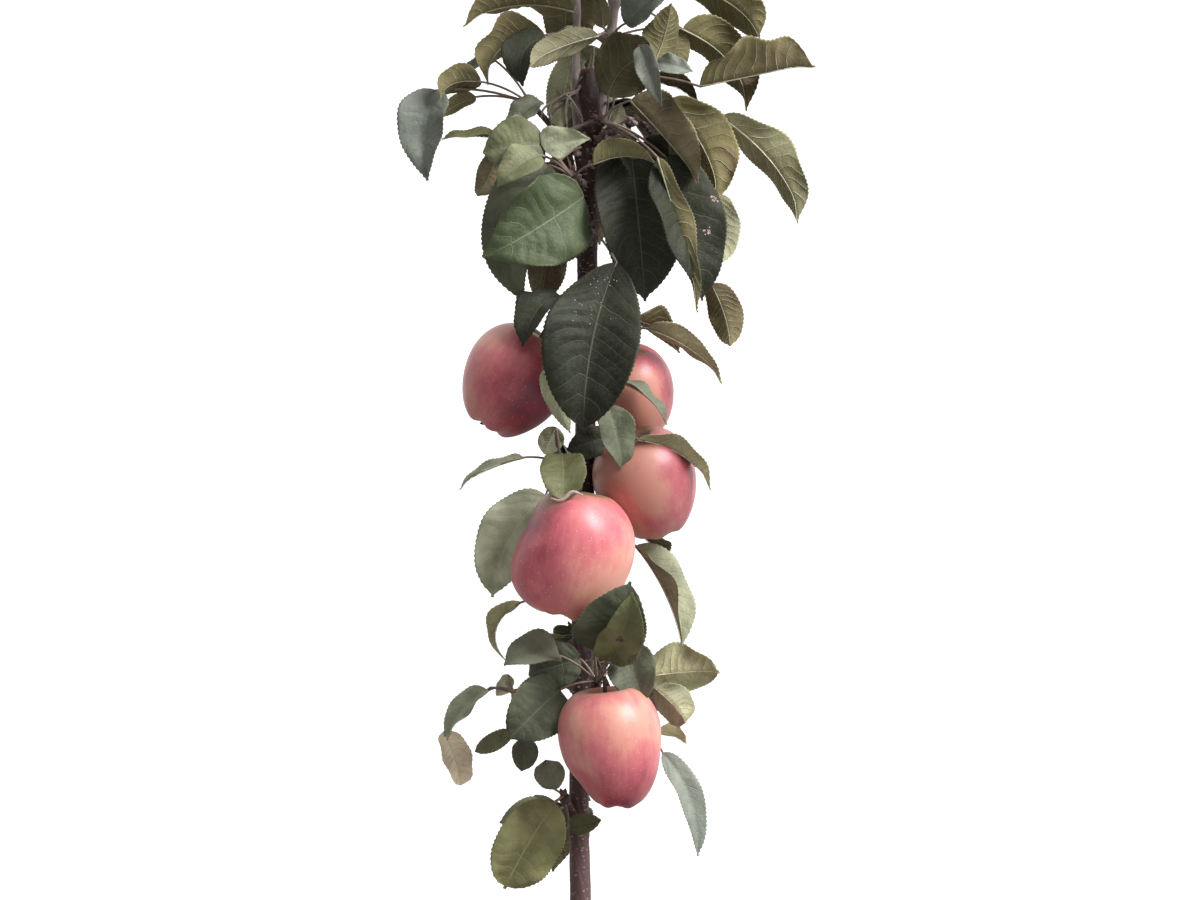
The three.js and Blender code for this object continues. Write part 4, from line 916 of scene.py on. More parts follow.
def bladeSurface(leaf, shape, u, v, teeth=0.0):
    # the leaf's plain surface, with convex halves, a wavy margin, a drooping tip, a slight twist
    # and ridges between the side veins
    style = leaf["style"]
    u, v = np.broadcast_arrays(np.asarray(u, float), np.asarray(v, float))
    aside = np.abs(v)
    middle, side, normal = midribOf(leaf, shape, u)
    drop = style["tipDrop"] * shape["length"] * smooth(0.72, 1.0, u) ** 2
    middle = middle - shape["normal"] * drop[..., None]
    twist = (style["twist"] * (u - 0.35))[..., None]
    cosine, sine = np.cos(twist), np.sin(twist)
    side, normal = side * cosine + normal * sine, normal * cosine - side * sine
    fold = math.radians(leaf["fold"])
    reach = bladeOutline(leaf, u) + teeth * aside ** 6
    waves = np.sin(tau * (style["waves"] * u + style["phase"] + 0.3 * (v > 0)))
    wave = style["wave"] * reach * aside ** 2 * waves
    within = smooth(0.05, 0.3, aside) * (1 - smooth(0.75, 1.0, aside))
    within = within * smooth(0.02, 0.12, u) * (1 - smooth(0.85, 1, u))
    pucker = leafLooks["pucker"] * leaf["width"] / leafLooks["puckerWidth"]
    ridge = -0.5 * pucker * within * np.cos(tau * veinAt(leaf, u, v))
    swing = np.sin(tau * (1.3 * u + 0.5 * v + style["phase"])) + np.sin(tau * (2.1 * u - 0.7 * v))
    domed = reach * math.sin(fold) * (1.35 * aside - 0.35 * aside ** 2)
    raised = domed + wave + ridge + style["billow"] * swing * reach * aside
    lateral = v * reach * math.cos(fold) + style["lean"] * 4 * u * (1 - u)
    return middle + side * lateral[..., None] + normal * raised[..., None]


def bladeMesh(leaf, shape, cell, across):
    # two skins over one toothed grid, meeting at the margin and closed at both ends
    looks, length = leafLooks, shape["length"]
    teethCount = int(np.clip(round(length / looks["toothPitch"]), looks["fewestTeeth"], looks["mostTeeth"]))
    k = np.arange(teethCount)
    valleys, peaks = (k + looks["toothFrom"]) / teethCount, (k + looks["toothTo"]) / teethCount
    u = np.sort(np.concatenate([[0.004], valleys, peaks, [0.996]]))[:, None]
    isPeak = np.concatenate([[0], np.tile([0.0, 1.0], teethCount), [0]])[:, None]
    # the columns lie closer together towards the margin
    spread = math.pi / 2 * 0.86
    v = (np.sin(np.linspace(-1, 1, across) * spread) / math.sin(spread))[None, :]
    teeth = isPeak * looks["toothDepth"] * min(1, length / looks["fullLength"]) * smooth(0, 0.1, u)
    middle = bladeSurface(leaf, shape, u, v, teeth)
    normals = unit(np.cross(np.gradient(middle, axis=1), np.gradient(middle, axis=0)))
    out = normals * (looks["thickness"] / 2 * (1 - np.abs(v) ** looks["marginPower"]))[..., None]
    rows = len(u)
    topIds = np.arange(rows * across).reshape(rows, across)
    lowIds = topIds.copy()
    lowIds[:, 1:-1] = rows * across + np.arange(rows * (across - 2)).reshape(rows, -1)
    points = np.concatenate([(middle + out).reshape(-1, 3), (middle - out)[:, 1:-1].reshape(-1, 3)])
    faces = [gridFaces(topIds), gridFaces(lowIds)[:, ::-1]]
    for row, isTurned in ((0, False), (-1, True)):
        ring = np.concatenate([topIds[row], lowIds[row, 1:-1][::-1]])
        fan = np.stack([np.full(len(ring) - 2, ring[0]), ring[2:], ring[1:-1]], -1)
        faces.append(fan[:, ::-1] if isTurned else fan)
    # the blade's own cell of the piece's map: upper face on the left, under face on the right
    x, y, size = cell
    u, v = np.broadcast_arrays(u, v)
    flat = np.zeros((len(points), 2))
    flat[topIds] = np.stack([x + size * (0.03 + 0.22 * (v + 1)), y + size * (0.03 + 0.94 * u)], -1)
    low = flat.copy()
    low[lowIds] = np.stack([x + size * (0.53 + 0.22 * (v + 1)), y + size * (0.03 + 0.94 * u)], -1)
    place = np.zeros((len(points), 3))
    place[topIds] = np.stack([veinAt(leaf, u, v), v, np.full(u.shape, leaf["tone"])], -1)
    place[lowIds] = place[topIds]
    uvs = np.concatenate([flat[faces[0]], *(low[part] for part in faces[1:])])
    slots = np.concatenate([np.full(len(part), min(index, 1)) for index, part in enumerate(faces)])
    return points, np.concatenate(faces), uvs, slots, place


def veinPaths(leaf, steps):
    # each side vein lies where veinAt is a whole number
    along = np.linspace(0.0, 0.97, 120)
    for sign in (-1, 1):
        v = sign * np.linspace(0.02, 0.9, steps)
        counted = [veinAt(leaf, along, at) for at in v]
        for number in range(1, int(leaf["style"]["veins"])):
            u = np.array([np.interp(number, row, along) for row in counted])
            if u.max() < ribs["side"]["end"]:
                yield u, v


def styleLeaf(leaf, seed):
    # gives a leaf its colouring, where its row has none, and its seeded style and tone
    draw = np.random.default_rng(seed)
    leaf["kind"] = leaf.get("colouring") or grownKinds[int(draw.integers(len(grownKinds)))]
    leaf["style"] = {key: float(draw.integers(*span)) if key == "veins" else draw.uniform(*span)
                     for key, span in leafStyle.items()}
    leaf["style"]["lean"] *= np.linalg.norm(leaf["tip"] - leaf["base"])
    leaf["tone"] = draw.uniform(0, 1)


def pileRib(heap, leaf, shape, looks, u, v, share):
    # a rib under the blade, thinner on short leaves
    path = bladeSurface(leaf, shape, u, v) - shape["normal"] * looks["depth"]
    radii = lerp(*looks["radii"], share) * min(1, shape["length"] / leafLooks["fullRib"])
    pileTube(heap, path, radii, looks["sides"])
    return path


def makeLeaves():
    # one piece for each colouring, and pieces for the raised veins and the stalks
    pieces = {kind: {"heap": newHeap(), "places": [], "nodes": set(), "count": 0} for kind in leafColours}
    veins, stalks = {name: newHeap() for name in ("pale", "light", "dim")}, newHeap()
    for massIndex, (name, mass) in enumerate(masses.items()):
        for leafIndex, leaf in enumerate(mass["leaves"]):
            styleLeaf(leaf, 1000 * massIndex + leafIndex)
            piece = pieces[leaf["kind"]]
            leaf["index"] = piece["count"]
            piece["count"] += 1
            piece["nodes"].add(name)
    for leaf in (leaf for mass in masses.values() for leaf in mass["leaves"]):
        piece, isPosed, shape = pieces[leaf["kind"]], not leaf["skyward"], leafFrame(leaf)
        side = math.ceil(math.sqrt(piece["count"]))
        cell = (leaf["index"] % side / side, leaf["index"] // side / side, 1 / side)
        across = leafLooks["across" if isPosed else "grownAcross"]
        points, faces, uvs, slots, place = bladeMesh(leaf, shape, cell, across)
        pile(piece["heap"], points, faces, uvs, slots)
        piece["places"].append(place)
        # midrib and side veins stand out most below
        veinHeap = veins[veinsOf.get(leaf["kind"], "light")]
        u = np.linspace(0.0, ribs["midrib"]["end"], ribs["midrib"]["steps"])
        midrib = pileRib(veinHeap, leaf, shape, ribs["midrib"], u, 0, u ** 0.8)
        for u, v in veinPaths(leaf, ribs["side"]["steps" if isPosed else "grownSteps"]):
            pileRib(veinHeap, leaf, shape, ribs["side"], u, v, np.linspace(0, 1, len(u)))
        # the stalk bends from its crown into the midrib
        base = bladeSurface(leaf, shape, 0, 0)
        lift = zAxis * leafStalk["lift"] * np.linalg.norm(base - leaf["crown"])
        path = np.vstack([bow(leaf["crown"], base, lift, leafStalk["steps"]), midrib[1:2]])
        pileTube(stalks, path, leafStalk["radii"], leafStalk["sides"])
    for kind, piece in pieces.items():
        if piece["count"]:
            bothFaces = [leafMaterial(kind, face) for face in faceLooks]
            makePiece("leaves_" + kind, piece["heap"], bothFaces, sorted(piece["nodes"]),
                      [("leafPlace", np.concatenate(piece["places"]))])
    for name, heap in veins.items():
        makePiece("leaf_veins_" + name, heap, [mottled("vein_" + name)])
    makePiece("leaf_stalks", stalks, [mottled("stalk")], list(masses))


# galls, a spot and painted glints (pale lumps standing in for highlights near one leaf's midrib): mass, leaf,
# place along and across, spread, lump radius, count, kind
blemishes = [
    ("spur_front_top", 3, 0.57, -0.45, 2.6, 1.0, 12, "gall"),
    ("spur_front_top", 3, 0.38, -0.85, 2.2, 0.9, 9, "gall"),
    ("spur_front_top", 2, 0.42, 0.7, 1.4, 0.8, 5, "gall"),
    ("spur_rosette", 3, 0.42, 0.05, 1.9, 1.7, 12, "spot"),
    # painted highlight: pale lumps for glints near the midrib of the big front leaf
    ("spur_front_upper", 0, 0.26, 0.1, 18.0, 0.42, 34, "painted_glint"),
]
blemishLumps = {"from": 0.6, "to": 1.2, "flat": 0.5, "proud": 0.2, "margin": 0.9}
# a pale curl on the shoulder of one fruit
curlPath = [[-22, -87, 669], [-15, -89, 667.5], [-8, -89, 673], [-1, -88, 671]]
curl = {"radius": 1.2, "steps": 20, "from": 0.3, "to": 2.8, "sides": 7}


def makeBlemishes():
    # small flattened lumps, strewn round their place on the blade
    heaps, shares = {kind: newHeap() for kind in ("gall", "spot", "painted_glint")}, blemishLumps
    draw = np.random.default_rng(77)
    for mass, row, u, v, spread, radius, count, kind in blemishes:
        leaf = masses[mass]["leaves"][row]
        shape = leafFrame(leaf)
        u = u + draw.uniform(-spread, spread, count) / shape["length"]
        v = v + draw.uniform(-spread, spread, count) / (leaf["width"] / 2)
        v = np.clip(v, -shares["margin"], shares["margin"])
        for place in bladeSurface(leaf, shape, u, v) + shape["normal"] * shares["proud"]:
            size = radius * draw.uniform(shares["from"], shares["to"])
            pile(heaps[kind], lump * size * vec(1, shares["flat"], 1) + place, lumpFaces)
    radii = curl["radius"] * np.sin(np.linspace(curl["from"], curl["to"], curl["steps"]))
    pileTube(heaps["gall"], throughPoints(curlPath, curl["steps"]), radii, curl["sides"])
    for kind, heap in heaps.items():
        makePiece(f"leaf_{kind}s", heap, [mottled("leaf_" + kind)])


makeLeaves()
makeBlemishes()
print("leaves made")


# shares of the fruit's radius, but for counts and the end gap of its lattice
fruitShape = {
    "rings": 64, "sides": 72, "poleGap": 0.03, "shoulders": 0.16, "stalkDimple": 0.24, "eyeDimple": 0.12,
    "dimpleWidth": 0.3, "lobes": 5, "lobeRise": 0.022, "lobeSwell": 0.008, "lean": 0.018, "oval": 0.010,
}
# the stalk starts this far inside its dimple and widens into the crown
fruitStalk = {
    "inset": 3, "mouth": 0.52, "bend": 0.6, "steps": 12, "radii": [1.9, *[1.35] * 9, 1.6, 2.2], "sides": 8,
}
# a sepal's steps up and out, and its radii there
sepals = {
    "count": 5, "jitter": (-0.2, 0.2), "up": (1.5, -1.0, -3.6, -4.6), "out": (0, 2.0, 3.4, 5.6),
    "radii": (1.5, 1.7, 1.0, 0.15), "sides": 4,
}
# no fruit is quite round or even: its brightness, partly its own tone and partly painted shade for how it is
# lit, the way its golden side faces (longer for a paler gold), its far side a deeper crimson that is partly
# flush and partly painted shade, its most crimson and most gold, and its swells and flats seen from the front:
# direction, amount and spread in degrees
fruitLooks = {
    "spur_rosette": {
        "tone": 1.0, "facing": (-0.2, -0.6, 1.3), "reach": (-1.3, 0.7),
        "flats": [(232, -0.17, 34), (180, -0.05, 25), (0, -0.05, 30)],
    },
    "spur_front_mid": {
        "tone": 1.07, "facing": (0.8, 0, -0.6), "reach": (-1.2, 0.7),
        "flats": [(142, -0.19, 33), (204, 0.09, 22), (250, -0.08, 18), (50, -0.04, 25)],
    },
    "spur_left_upper": {"tone": 0.85, "facing": (-2.0, 0.5, -0.3), "reach": (-2.2, 0.5), "flats": []},
    "spur_right_front": {"tone": 0.74, "facing": (-1.0, -0.9, 0.5), "reach": (-1.1, 1.3), "flats": []},
    "spur_right_upper": {"tone": 0.86, "facing": (-1.8, -1.9, -0.2), "reach": (-0.5, 2.2), "flats": []},
}
otherFruit = {"tone": 0.85, "facing": (0.4, 0.3, -0.6), "reach": (-1, 1), "flats": []}


def fruitSurface(theta, a, seed):
    # out = sin t (1 + s cos t), height = cos t less a dimple exp(-(out/w)^2) at each end, and five soft lobes
    shape = fruitShape
    lean, turn = np.random.default_rng(seed).uniform(0, tau, 2)
    out = np.sin(theta) * (1 + shape["shoulders"] * np.cos(theta))
    dimple = np.where(theta < math.pi / 2, -shape["stalkDimple"], shape["eyeDimple"])
    lobe = np.cos(shape["lobes"] * a + turn)
    rise = shape["lobeRise"] * lobe * smooth(1.9, 2.75, theta) * hump(out, 0.35, 0.22)
    height = np.cos(theta) + 2 * dimple * hump(out, 0, shape["dimpleWidth"]) - rise
    swell = shape["lobeSwell"] * lobe * smooth(1.0, 2.6, theta)
    out = out * (1 + swell + shape["lean"] * np.cos(a + lean) + shape["oval"] * np.cos(2 * a + turn))
    return polar(out, a, height)


def flattened(points, fruit, flats):
    # moves x and z from the middle by amount * exp(-(turn from the direction / spread)^2), but for its core
    offset = points - fruit["centre"]
    turned = np.degrees(np.arctan2(offset[:, 2], offset[:, 0]))
    away = smooth(0.25, 0.85, np.hypot(offset[:, 0], offset[:, 2]) / fruit["radius"])
    swell = np.zeros(len(points))
    for direction, amount, spread in flats:
        swell += amount * hump((turned - direction + 180) % 360, 180, spread)
    offset[:, [0, 2]] *= (1 + swell * away)[:, None]
    return offset + fruit["centre"]


def makeFruit():
    # a round lattice of points for each fruit, set along its own axis, with its stalk and its withered eye
    skin, stalkHeap, eyeHeap = fruitMaterial(), newHeap(), newHeap()
    theta = np.linspace(fruitShape["poleGap"], math.pi - fruitShape["poleGap"], fruitShape["rings"])[:, None]
    a = bearings(fruitShape["sides"])[None, :]
    uvs = 0.01 + 0.98 * ringsMap(fruitShape["rings"], fruitShape["sides"])[:, ::-1]
    owners = [name for name, plan in spurs.items() if "fruit" in plan]
    for index, (owner, fruit) in enumerate(zip(owners, everyFruit)):
        looks = fruitLooks.get(owner, otherFruit)
        up = unit(vec(*fruit["axis"]))
        across = unit(np.cross(-viewer, up))
        axes = np.stack([across, np.cross(up, across), up])
        rings = fruitSurface(theta, a, index + 40)
        local, faces = closedRings(rings, *(zAxis * rings[end, :, 2].mean() for end in (0, -1)))
        points = (local * [fruit["radius"], fruit["radius"], fruit["height"] / 2]) @ axes + fruit["centre"]
        heap, count = newHeap(), len(points)
        pile(heap, flattened(points, fruit, looks["flats"]), faces[:, ::-1], uvs)
        # the fruit's tone and gold values carry painted shade as well as its own colouring: a dimmer whole
        # fruit and a deeper crimson side away from the light
        makePiece(f"fruit_{index + 1}", heap, [skin], [owner],
                  [("fruitPlace", local), ("fruitShift", np.full(count, 7.3 * index)),
                   ("fruitToneAndShade", np.full((count, 3), looks["tone"])),
                   ("fruitGoldAndShade", np.clip(local @ looks["facing"], *looks["reach"]))])
        pileStalk(stalkHeap, fruit, up, spurs[owner]["crowns"][0])
        pileEye(eyeHeap, fruit, axes, looks["flats"], index)
    makePiece("fruit_stalks", stalkHeap, [mottled("fruit_stalk")], owners)
    makePiece("fruit_eyes", eyeHeap, [mottled("eye")], owners)


def pileStalk(heap, fruit, up, crown):
    # from just inside the upper dimple out of its mouth to the crown
    part = fruitStalk
    inner = fruit["centre"] + up * (fruit["height"] * (0.5 - fruitShape["stalkDimple"]) - part["inset"])
    mouth = fruit["centre"] + up * fruit["height"] * part["mouth"]
    path = throughPoints([inner, lerp(inner, mouth, part["bend"]), mouth, crown], part["steps"])
    pileTube(heap, path, part["radii"], part["sides"])


def pileEye(heap, fruit, axes, flats, seed):
    # five withered sepals that curl out of the lower dimple
    across, onward, up = axes
    start = fruit["centre"] - up * fruit["height"] * (0.5 - fruitShape["eyeDimple"])
    draw = np.random.default_rng(seed)
    for k in range(sepals["count"]):
        a = tau * k / sepals["count"] + draw.uniform(*sepals["jitter"])
        out = across * math.cos(a) + onward * math.sin(a)
        path = start + np.outer(sepals["up"], up) + np.outer(sepals["out"], out)
        pileTube(heap, flattened(path, fruit, flats), sepals["radii"], sepals["sides"])


# the lowest flush stop, a near-purple crimson, is painted shade for a fruit's side turned from the light
fruitColours = {
    "skin": (0.52, 0.115, 0.125), "bowl": (0.270, 0.170, 0.085), "dots": (0.72, 0.46, 0.36),
    "flush": [(0.25, (0.20, 0.032, 0.060)), (0.36, (0.36, 0.056, 0.076)), (0.45, (0.50, 0.106, 0.132)),
              (0.54, (0.59, 0.165, 0.172)), (0.64, (0.64, 0.28, 0.215))],
    "ground": [(0.25, (0.44, 0.19, 0.12)), (0.7, (0.48, 0.33, 0.16))],
}


def fruitMaterial():
    # a pink-crimson flush in faint streaks, yellow-green where it thins and greenish brown round the stalk;
    # each fruit's brightness and its deeper crimson far side are partly its own colouring and partly painted
    # shade
    material, tree, shader = newMaterial("fruit_skin", fruitColours["skin"], {
        "Roughness": 0.42, "Specular IOR Level": 0.5, "Coat Weight": 0.12, "Coat Roughness": 0.34,
        "Sheen Weight": 0.16, "Sheen Roughness": 0.45, "Sheen Tint": (1.0, 0.80, 0.80, 1)})
    place = ownAttribute(tree, "fruitPlace")
    shift, goldAndShade = ownAttribute(tree, "fruitShift", "Fac"), ownAttribute(tree, "fruitGoldAndShade", "Fac")
    parts = split(tree, place)
    level = joined(tree, (0, parts["X"]), (1, parts["Y"]))
    lift = joined(tree, (2, maths(tree, "MULTIPLY_ADD", parts["Z"], 0.3, shift)))
    streakPlace = vectorMaths(tree, "ADD", vectorMaths(tree, "NORMALIZE", level), lift)
    streaks = noise(tree, streakPlace, 11.0, 4.0, 0.6)
    patchPlace = vectorMaths(tree, "ADD", place, joined(tree, (0, shift), (1, shift)))
    fine = noise(tree, patchPlace, 26.0, 3.0, 0.7)
    patches = maths(tree, "MULTIPLY_ADD", noise(tree, patchPlace, 1.3), 0.56, 0.10)
    # the gold value lifts the golden side; its lowest values are painted shade, a deeper crimson on the side
    # away from the light
    sided = maths(tree, "MULTIPLY_ADD", goldAndShade, 0.14, patches)
    mingled = maths(tree, "MULTIPLY_ADD", streaks, 0.13, maths(tree, "MULTIPLY_ADD", fine, 0.10, sided))
    flush, ground = ramp(tree, mingled, fruitColours["flush"]), ramp(tree, streaks, fruitColours["ground"])
    footward = maths(tree, "SUBTRACT", maths(tree, "MULTIPLY", parts["Z"], -0.30), 0.12)
    thin = band(tree, maths(tree, "ADD", mingled, footward), 0.62, 0.88, 0.7)
    body = mixColour(tree, thin, flush, ground)
    nearness = maths(tree, "MULTIPLY_ADD", mingled, 1.1, -0.55)
    fromStalk = maths(tree, "ADD", vectorMaths(tree, "LENGTH", level), nearness)
    bowl = maths(tree, "MULTIPLY", band(tree, fromStalk, 0.74, 0.30), band(tree, parts["Z"], 0.0, 0.5))
    withBowl = mixColour(tree, bowl, body, fruitColours["bowl"])
    dots = band(tree, cells(tree, patchPlace, 12.5), 0.16, 0.08, 0.5)
    dotted = mixColour(tree, dots, withBowl, fruitColours["dots"])
    # times each fruit's tone, partly its own and partly painted shade for how it is lit
    painted = mixColour(tree, 1.0, dotted, ownAttribute(tree, "fruitToneAndShade", "Color"), "MULTIPLY")
    dress(tree, shader, painted, noise(tree, patchPlace, 40.0, 2.0), 0.06, 0.0003)
    return material


makeFruit()
print("fruit made")


# steps of the meshes, then the relief and pores of the bark, its painted light towards the ground and the
# darkening of its stub
barkLooks = {
    "heights": 620, "sides": 72, "leaderHeights": 320, "leaderSides": 20, "nodeSwell": 0.28, "nodeLength": 4.0,
    "crackScale": 420.0, "broadScale": 38.0, "poreScale": 230.0, "pores": (0.32, 0.25, 0.225),
    "paintedLightFrom": 0.52, "paintedLightTo": 0.42, "paintedLightShare": 0.6, "paintedLight": 4.8,
    "stub": (0.034, 0.019, 0.017), "stubFrom": 0.920, "stubTo": 0.932, "bump": 0.55, "bumpDepth": 0.0006,
}
# colour, worn colour and how dark the stub is; the dark bark colour is partly its own and partly painted shade
# for the trunk within the crown
barks = {
    "bark": ((0.034, 0.019, 0.018), (0.066, 0.042, 0.040), 0.88),
    "young_bark": ((0.270, 0.220, 0.205), (0.42, 0.355, 0.33), 0),
}


def barkMaterial(name):
    # cracked bark with pale pores, painted lighter near the ground for the light that reaches the trunk there,
    # darkened on the stub
    colour, worn, darkStub = barks[name]
    looks = barkLooks
    material, tree, shader = newMaterial(name, colour, {"Roughness": 0.62, "Specular IOR Level": 0.3})
    place = objectPlace(tree)
    upright = vectorMaths(tree, "MULTIPLY", place, (1, 1, 0.28))
    cracks = noise(tree, upright, looks["crackScale"], 5.0, 0.65)
    streaky = ramp(tree, cracks, [(0.3, tint(colour, 0.45)), (0.5, colour), (0.75, tint(colour, 1.7))])
    broad = noise(tree, place, looks["broadScale"], 4.0)
    rubbed = ramp(tree, broad, [(0.42, (0, 0, 0)), (0.72, (0.75, 0.75, 0.75))])
    height = split(tree, place)["Z"]
    # painted light: below about half a metre the bark turns towards a far paler copy of its colour, for the
    # light under the crown
    low = band(tree, height, looks["paintedLightFrom"], looks["paintedLightTo"], looks["paintedLightShare"])
    withPaintedLight = mixColour(tree, low, mixColour(tree, rubbed, streaky, worn), tint(colour, looks["paintedLight"]))
    stub = band(tree, height, looks["stubFrom"], looks["stubTo"], darkStub)
    plain = mixColour(tree, stub, withPaintedLight, looks["stub"])
    squashed = vectorMaths(tree, "MULTIPLY", place, (1, 1, 2.0))
    pores = band(tree, cells(tree, squashed, looks["poreScale"]), 0.29, 0.15, 0.8)
    shown = maths(tree, "MULTIPLY", pores, maths(tree, "SUBTRACT", 1.0, stub))
    relief = maths(tree, "MULTIPLY_ADD", pores, 0.6, cracks)
    painted = mixColour(tree, shown, plain, looks["pores"])
    dress(tree, shader, painted, relief, looks["bump"], looks["bumpDepth"])
    return material


trunkShape = {
    # amplitude, turns round the trunk, length up it and phase of each ripple
    "ripples": [(0.16, 3, 90, 0.4), (0.12, 5, 41, 1.9), (0.10, 9, 23, 2.2), (0.07, 14, 12, 0.3),
                (0.05, 23, 7, 1.1), (0.05, 31, 5, 2.9)],
    "buttress": 0.16, "buttresses": 4, "flareFrom": 226, "flareTo": 262,
    "knuckle": 1.5, "knuckleTurn": 0.5, "knuckleHeight": 6.5,
    "scar": 0.22, "scarEvery": 47, "scarAt": 20, "scarHeight": 1.1, "scarsAbove": 380,
    "raggedDepth": 5, "ragged": 0.10, "tornDepth": 2, "torn": 0.6, "hollow": 1.4,
    # torn bits of wood round the rim
    "rimBits": 22, "bitPlace": (4.3, 5.2), "bitRise": (0.2, 1.6), "bitLean": (0, 1), "bitDepth": 4,
    "bitRadii": (1.0, 0.95, 0.35), "bitSides": 5,
}


def makeTrunk(bark):
    # the table's radius with ripples amount * cos(turns a + 2 pi z/length + phase), buttresses at the root
    # flare, a swelling at each spur, old bud scars and a ragged pruned top
    shape = trunkShape
    z = np.linspace(trunkTable[0, 0], trunkTable[-1, 0], barkLooks["heights"])[:, None]
    a = bearings(barkLooks["sides"])[None, :]
    middle, radius = trunkAt(z[:, 0])
    buttresses = shape["buttress"] * np.cos(shape["buttresses"] * a + 0.6)
    reach = radius[:, None] * (1 + buttresses * (1 - smooth(shape["flareFrom"], shape["flareTo"], z)))
    for amplitude, turns, length, phase in shape["ripples"]:
        reach = reach + amplitude * np.cos(turns * a + z / length * tau + phase)
    for plan in spurs.values():
        way = plan["crowns"][0] - trunkAt(plan["root"])[0]
        turnAway = (a - math.atan2(way[1], way[0]) + math.pi) % tau
        beside = hump(turnAway, math.pi, shape["knuckleTurn"])
        reach = reach + shape["knuckle"] * beside * hump(z, plan["root"], shape["knuckleHeight"])
    scars = hump(z % shape["scarEvery"], shape["scarAt"], shape["scarHeight"]) * (z > shape["scarsAbove"])
    nearTop, atTop = (smooth(trunkTop - shape[depth], trunkTop, z) for depth in ("raggedDepth", "tornDepth"))
    ragged = shape["ragged"] * nearTop * (1 + 0.6 * np.cos(3 * a + 1))
    torn = shape["torn"] * atTop * (1 + np.cos(2 * a))
    offset = polar((reach + shape["scar"] * scars) * (1 - ragged), a, -torn)
    points, faces = closedRings(middle[:, None] + offset, middle[0], middle[-1] - zAxis * shape["hollow"])
    heap, cut = newHeap(), mottled("cut_wood")
    pile(heap, points, faces, slots=np.arange(len(faces)) >= len(faces) - barkLooks["sides"])
    makePiece("trunk_bark", heap, [bark, cut], ["trunk"])
    # torn wood round the cut
    rim, draw = newHeap(), np.random.default_rng(5)
    for angle in bearings(shape["rimBits"]):
        out = polar(1, angle, 0)
        at = middle[-1] + out * draw.uniform(*shape["bitPlace"])
        top = at + zAxis * draw.uniform(*shape["bitRise"]) - out * draw.uniform(*shape["bitLean"])
        pileTube(rim, [at - zAxis * shape["bitDepth"], at - zAxis, top], shape["bitRadii"], shape["bitSides"])
    makePiece("stub_rim", rim, [cut])


# steps along each kind of bud, radii there and sides
buds = {
    "leader": ((-2, 2, 6, 9), (1.3, 1.9, 1.2, 0.1), 6),
    "spur": ((0, 2.5, 4.6, 6.5), (1.7, 2.0, 1.4, 0.15), 7),
    "knob": ((0, 2.6, 4.6, 6.4), (1.6, 1.9, 1.3, 0.15), 7),
}


# from lowest to highest x, y and z of the way that a bud points
budWays = {"spur": [(-1, 1), (-1, 1), (0.3, 1.4)], "knob": [(-1, 1), (-1.2, 0.2), (0.1, 1.3)]}


def pileBud(heap, kind, at, way):
    # a straight tube from at, with the kind's own radii
    steps, radii, sides = buds[kind]
    pileTube(heap, at + np.outer(steps, way), radii, sides)


def makeLeaders(bark, budHeap):
    # each leader tapers from its foot to its tip and swells a little where a leaf leaves it
    heap = newHeap()
    for name, plan in leaderMasses.items():
        leader = leaders[plan["onLeader"]]
        line = np.vstack([leader["path"], leaderStem(plan["onLeader"])[1:]])
        path = throughPoints(line, barkLooks["leaderHeights"])
        stops, (first, *_, last) = [0, len(leader["path"]) / len(line), 1], leader["radii"]
        radii = np.interp(np.linspace(0, 1, len(path)), stops, [first, last, leader["tipRadius"]])
        for leaf in masses[name]["leaves"]:
            near = hump(np.linalg.norm(path - leaf["crown"], axis=1), 0, barkLooks["nodeLength"])
            radii = radii * (1 + barkLooks["nodeSwell"] * near)
        pileTube(heap, path, radii, barkLooks["leaderSides"])
        pileBud(budHeap, "leader", path[-1], zAxis)
    makePiece("leader_bark", heap, [bark], [*leaders, *leaderMasses])


slimSpurs, slimness = ("spur_left_low",), 0.5
# lift of the middle and radius of a spur's first shoot and of the ones that branch from it
shoots = {
    "first": (-3.0, 3.4), "branch": (3.0, 2.1), "steps": 34, "sides": 10, "scarEvery": 3.4, "scar": 0.10,
    "taper": (1.15, 0.85), "swell": 0.35, "swellAt": 0.96, "swellLength": 0.10,
}


def makeSpurs(bark, budHeap):
    # short crooked shoots ringed by old bud scars, ending in a swelling that the leaves and fruit leave from
    heap, slim = newHeap(), newHeap()
    t = np.linspace(0, 1, shoots["steps"])
    swelling = shoots["swell"] * hump(t, shoots["swellAt"], shoots["swellLength"])
    for index, (name, plan) in enumerate(spurs.items()):
        isSlim = name in slimSpurs
        crowns = np.array(plan["crowns"], float)
        for i, crown in enumerate(crowns):
            start = crowns[nearest(crowns[:i], crown)] if i else trunkAt(plan["root"])[0]
            lift, radius = shoots["branch" if i else "first"]
            length = np.linalg.norm(crown - start)
            scars = shoots["scar"] * np.maximum(0, np.sin(t * length / shoots["scarEvery"] * tau)) ** 3
            radii = radius * lerp(*shoots["taper"], t) * (1 + scars + swelling) * (slimness if isSlim else 1)
            path = bow(start, crown, zAxis * lift, len(t))
            pileTube(slim if isSlim else heap, path, radii, shoots["sides"])
        draw = np.random.default_rng(index + 7)
        for crown in (crowns[0], crowns[0], *crowns[1:2]):
            way = vec(*(draw.uniform(*span) for span in budWays["spur"]))
            pileBud(budHeap, "spur", crown, unit(way))
    makeDetails(heap, budHeap)
    makePiece("spur_wood", heap, [bark], [name for name in spurs if name not in slimSpurs])
    makePiece("slim_wood", slim, [mottled("slim_wood")], slimSpurs)
    makePiece("buds", budHeap, [mottled("bud")])


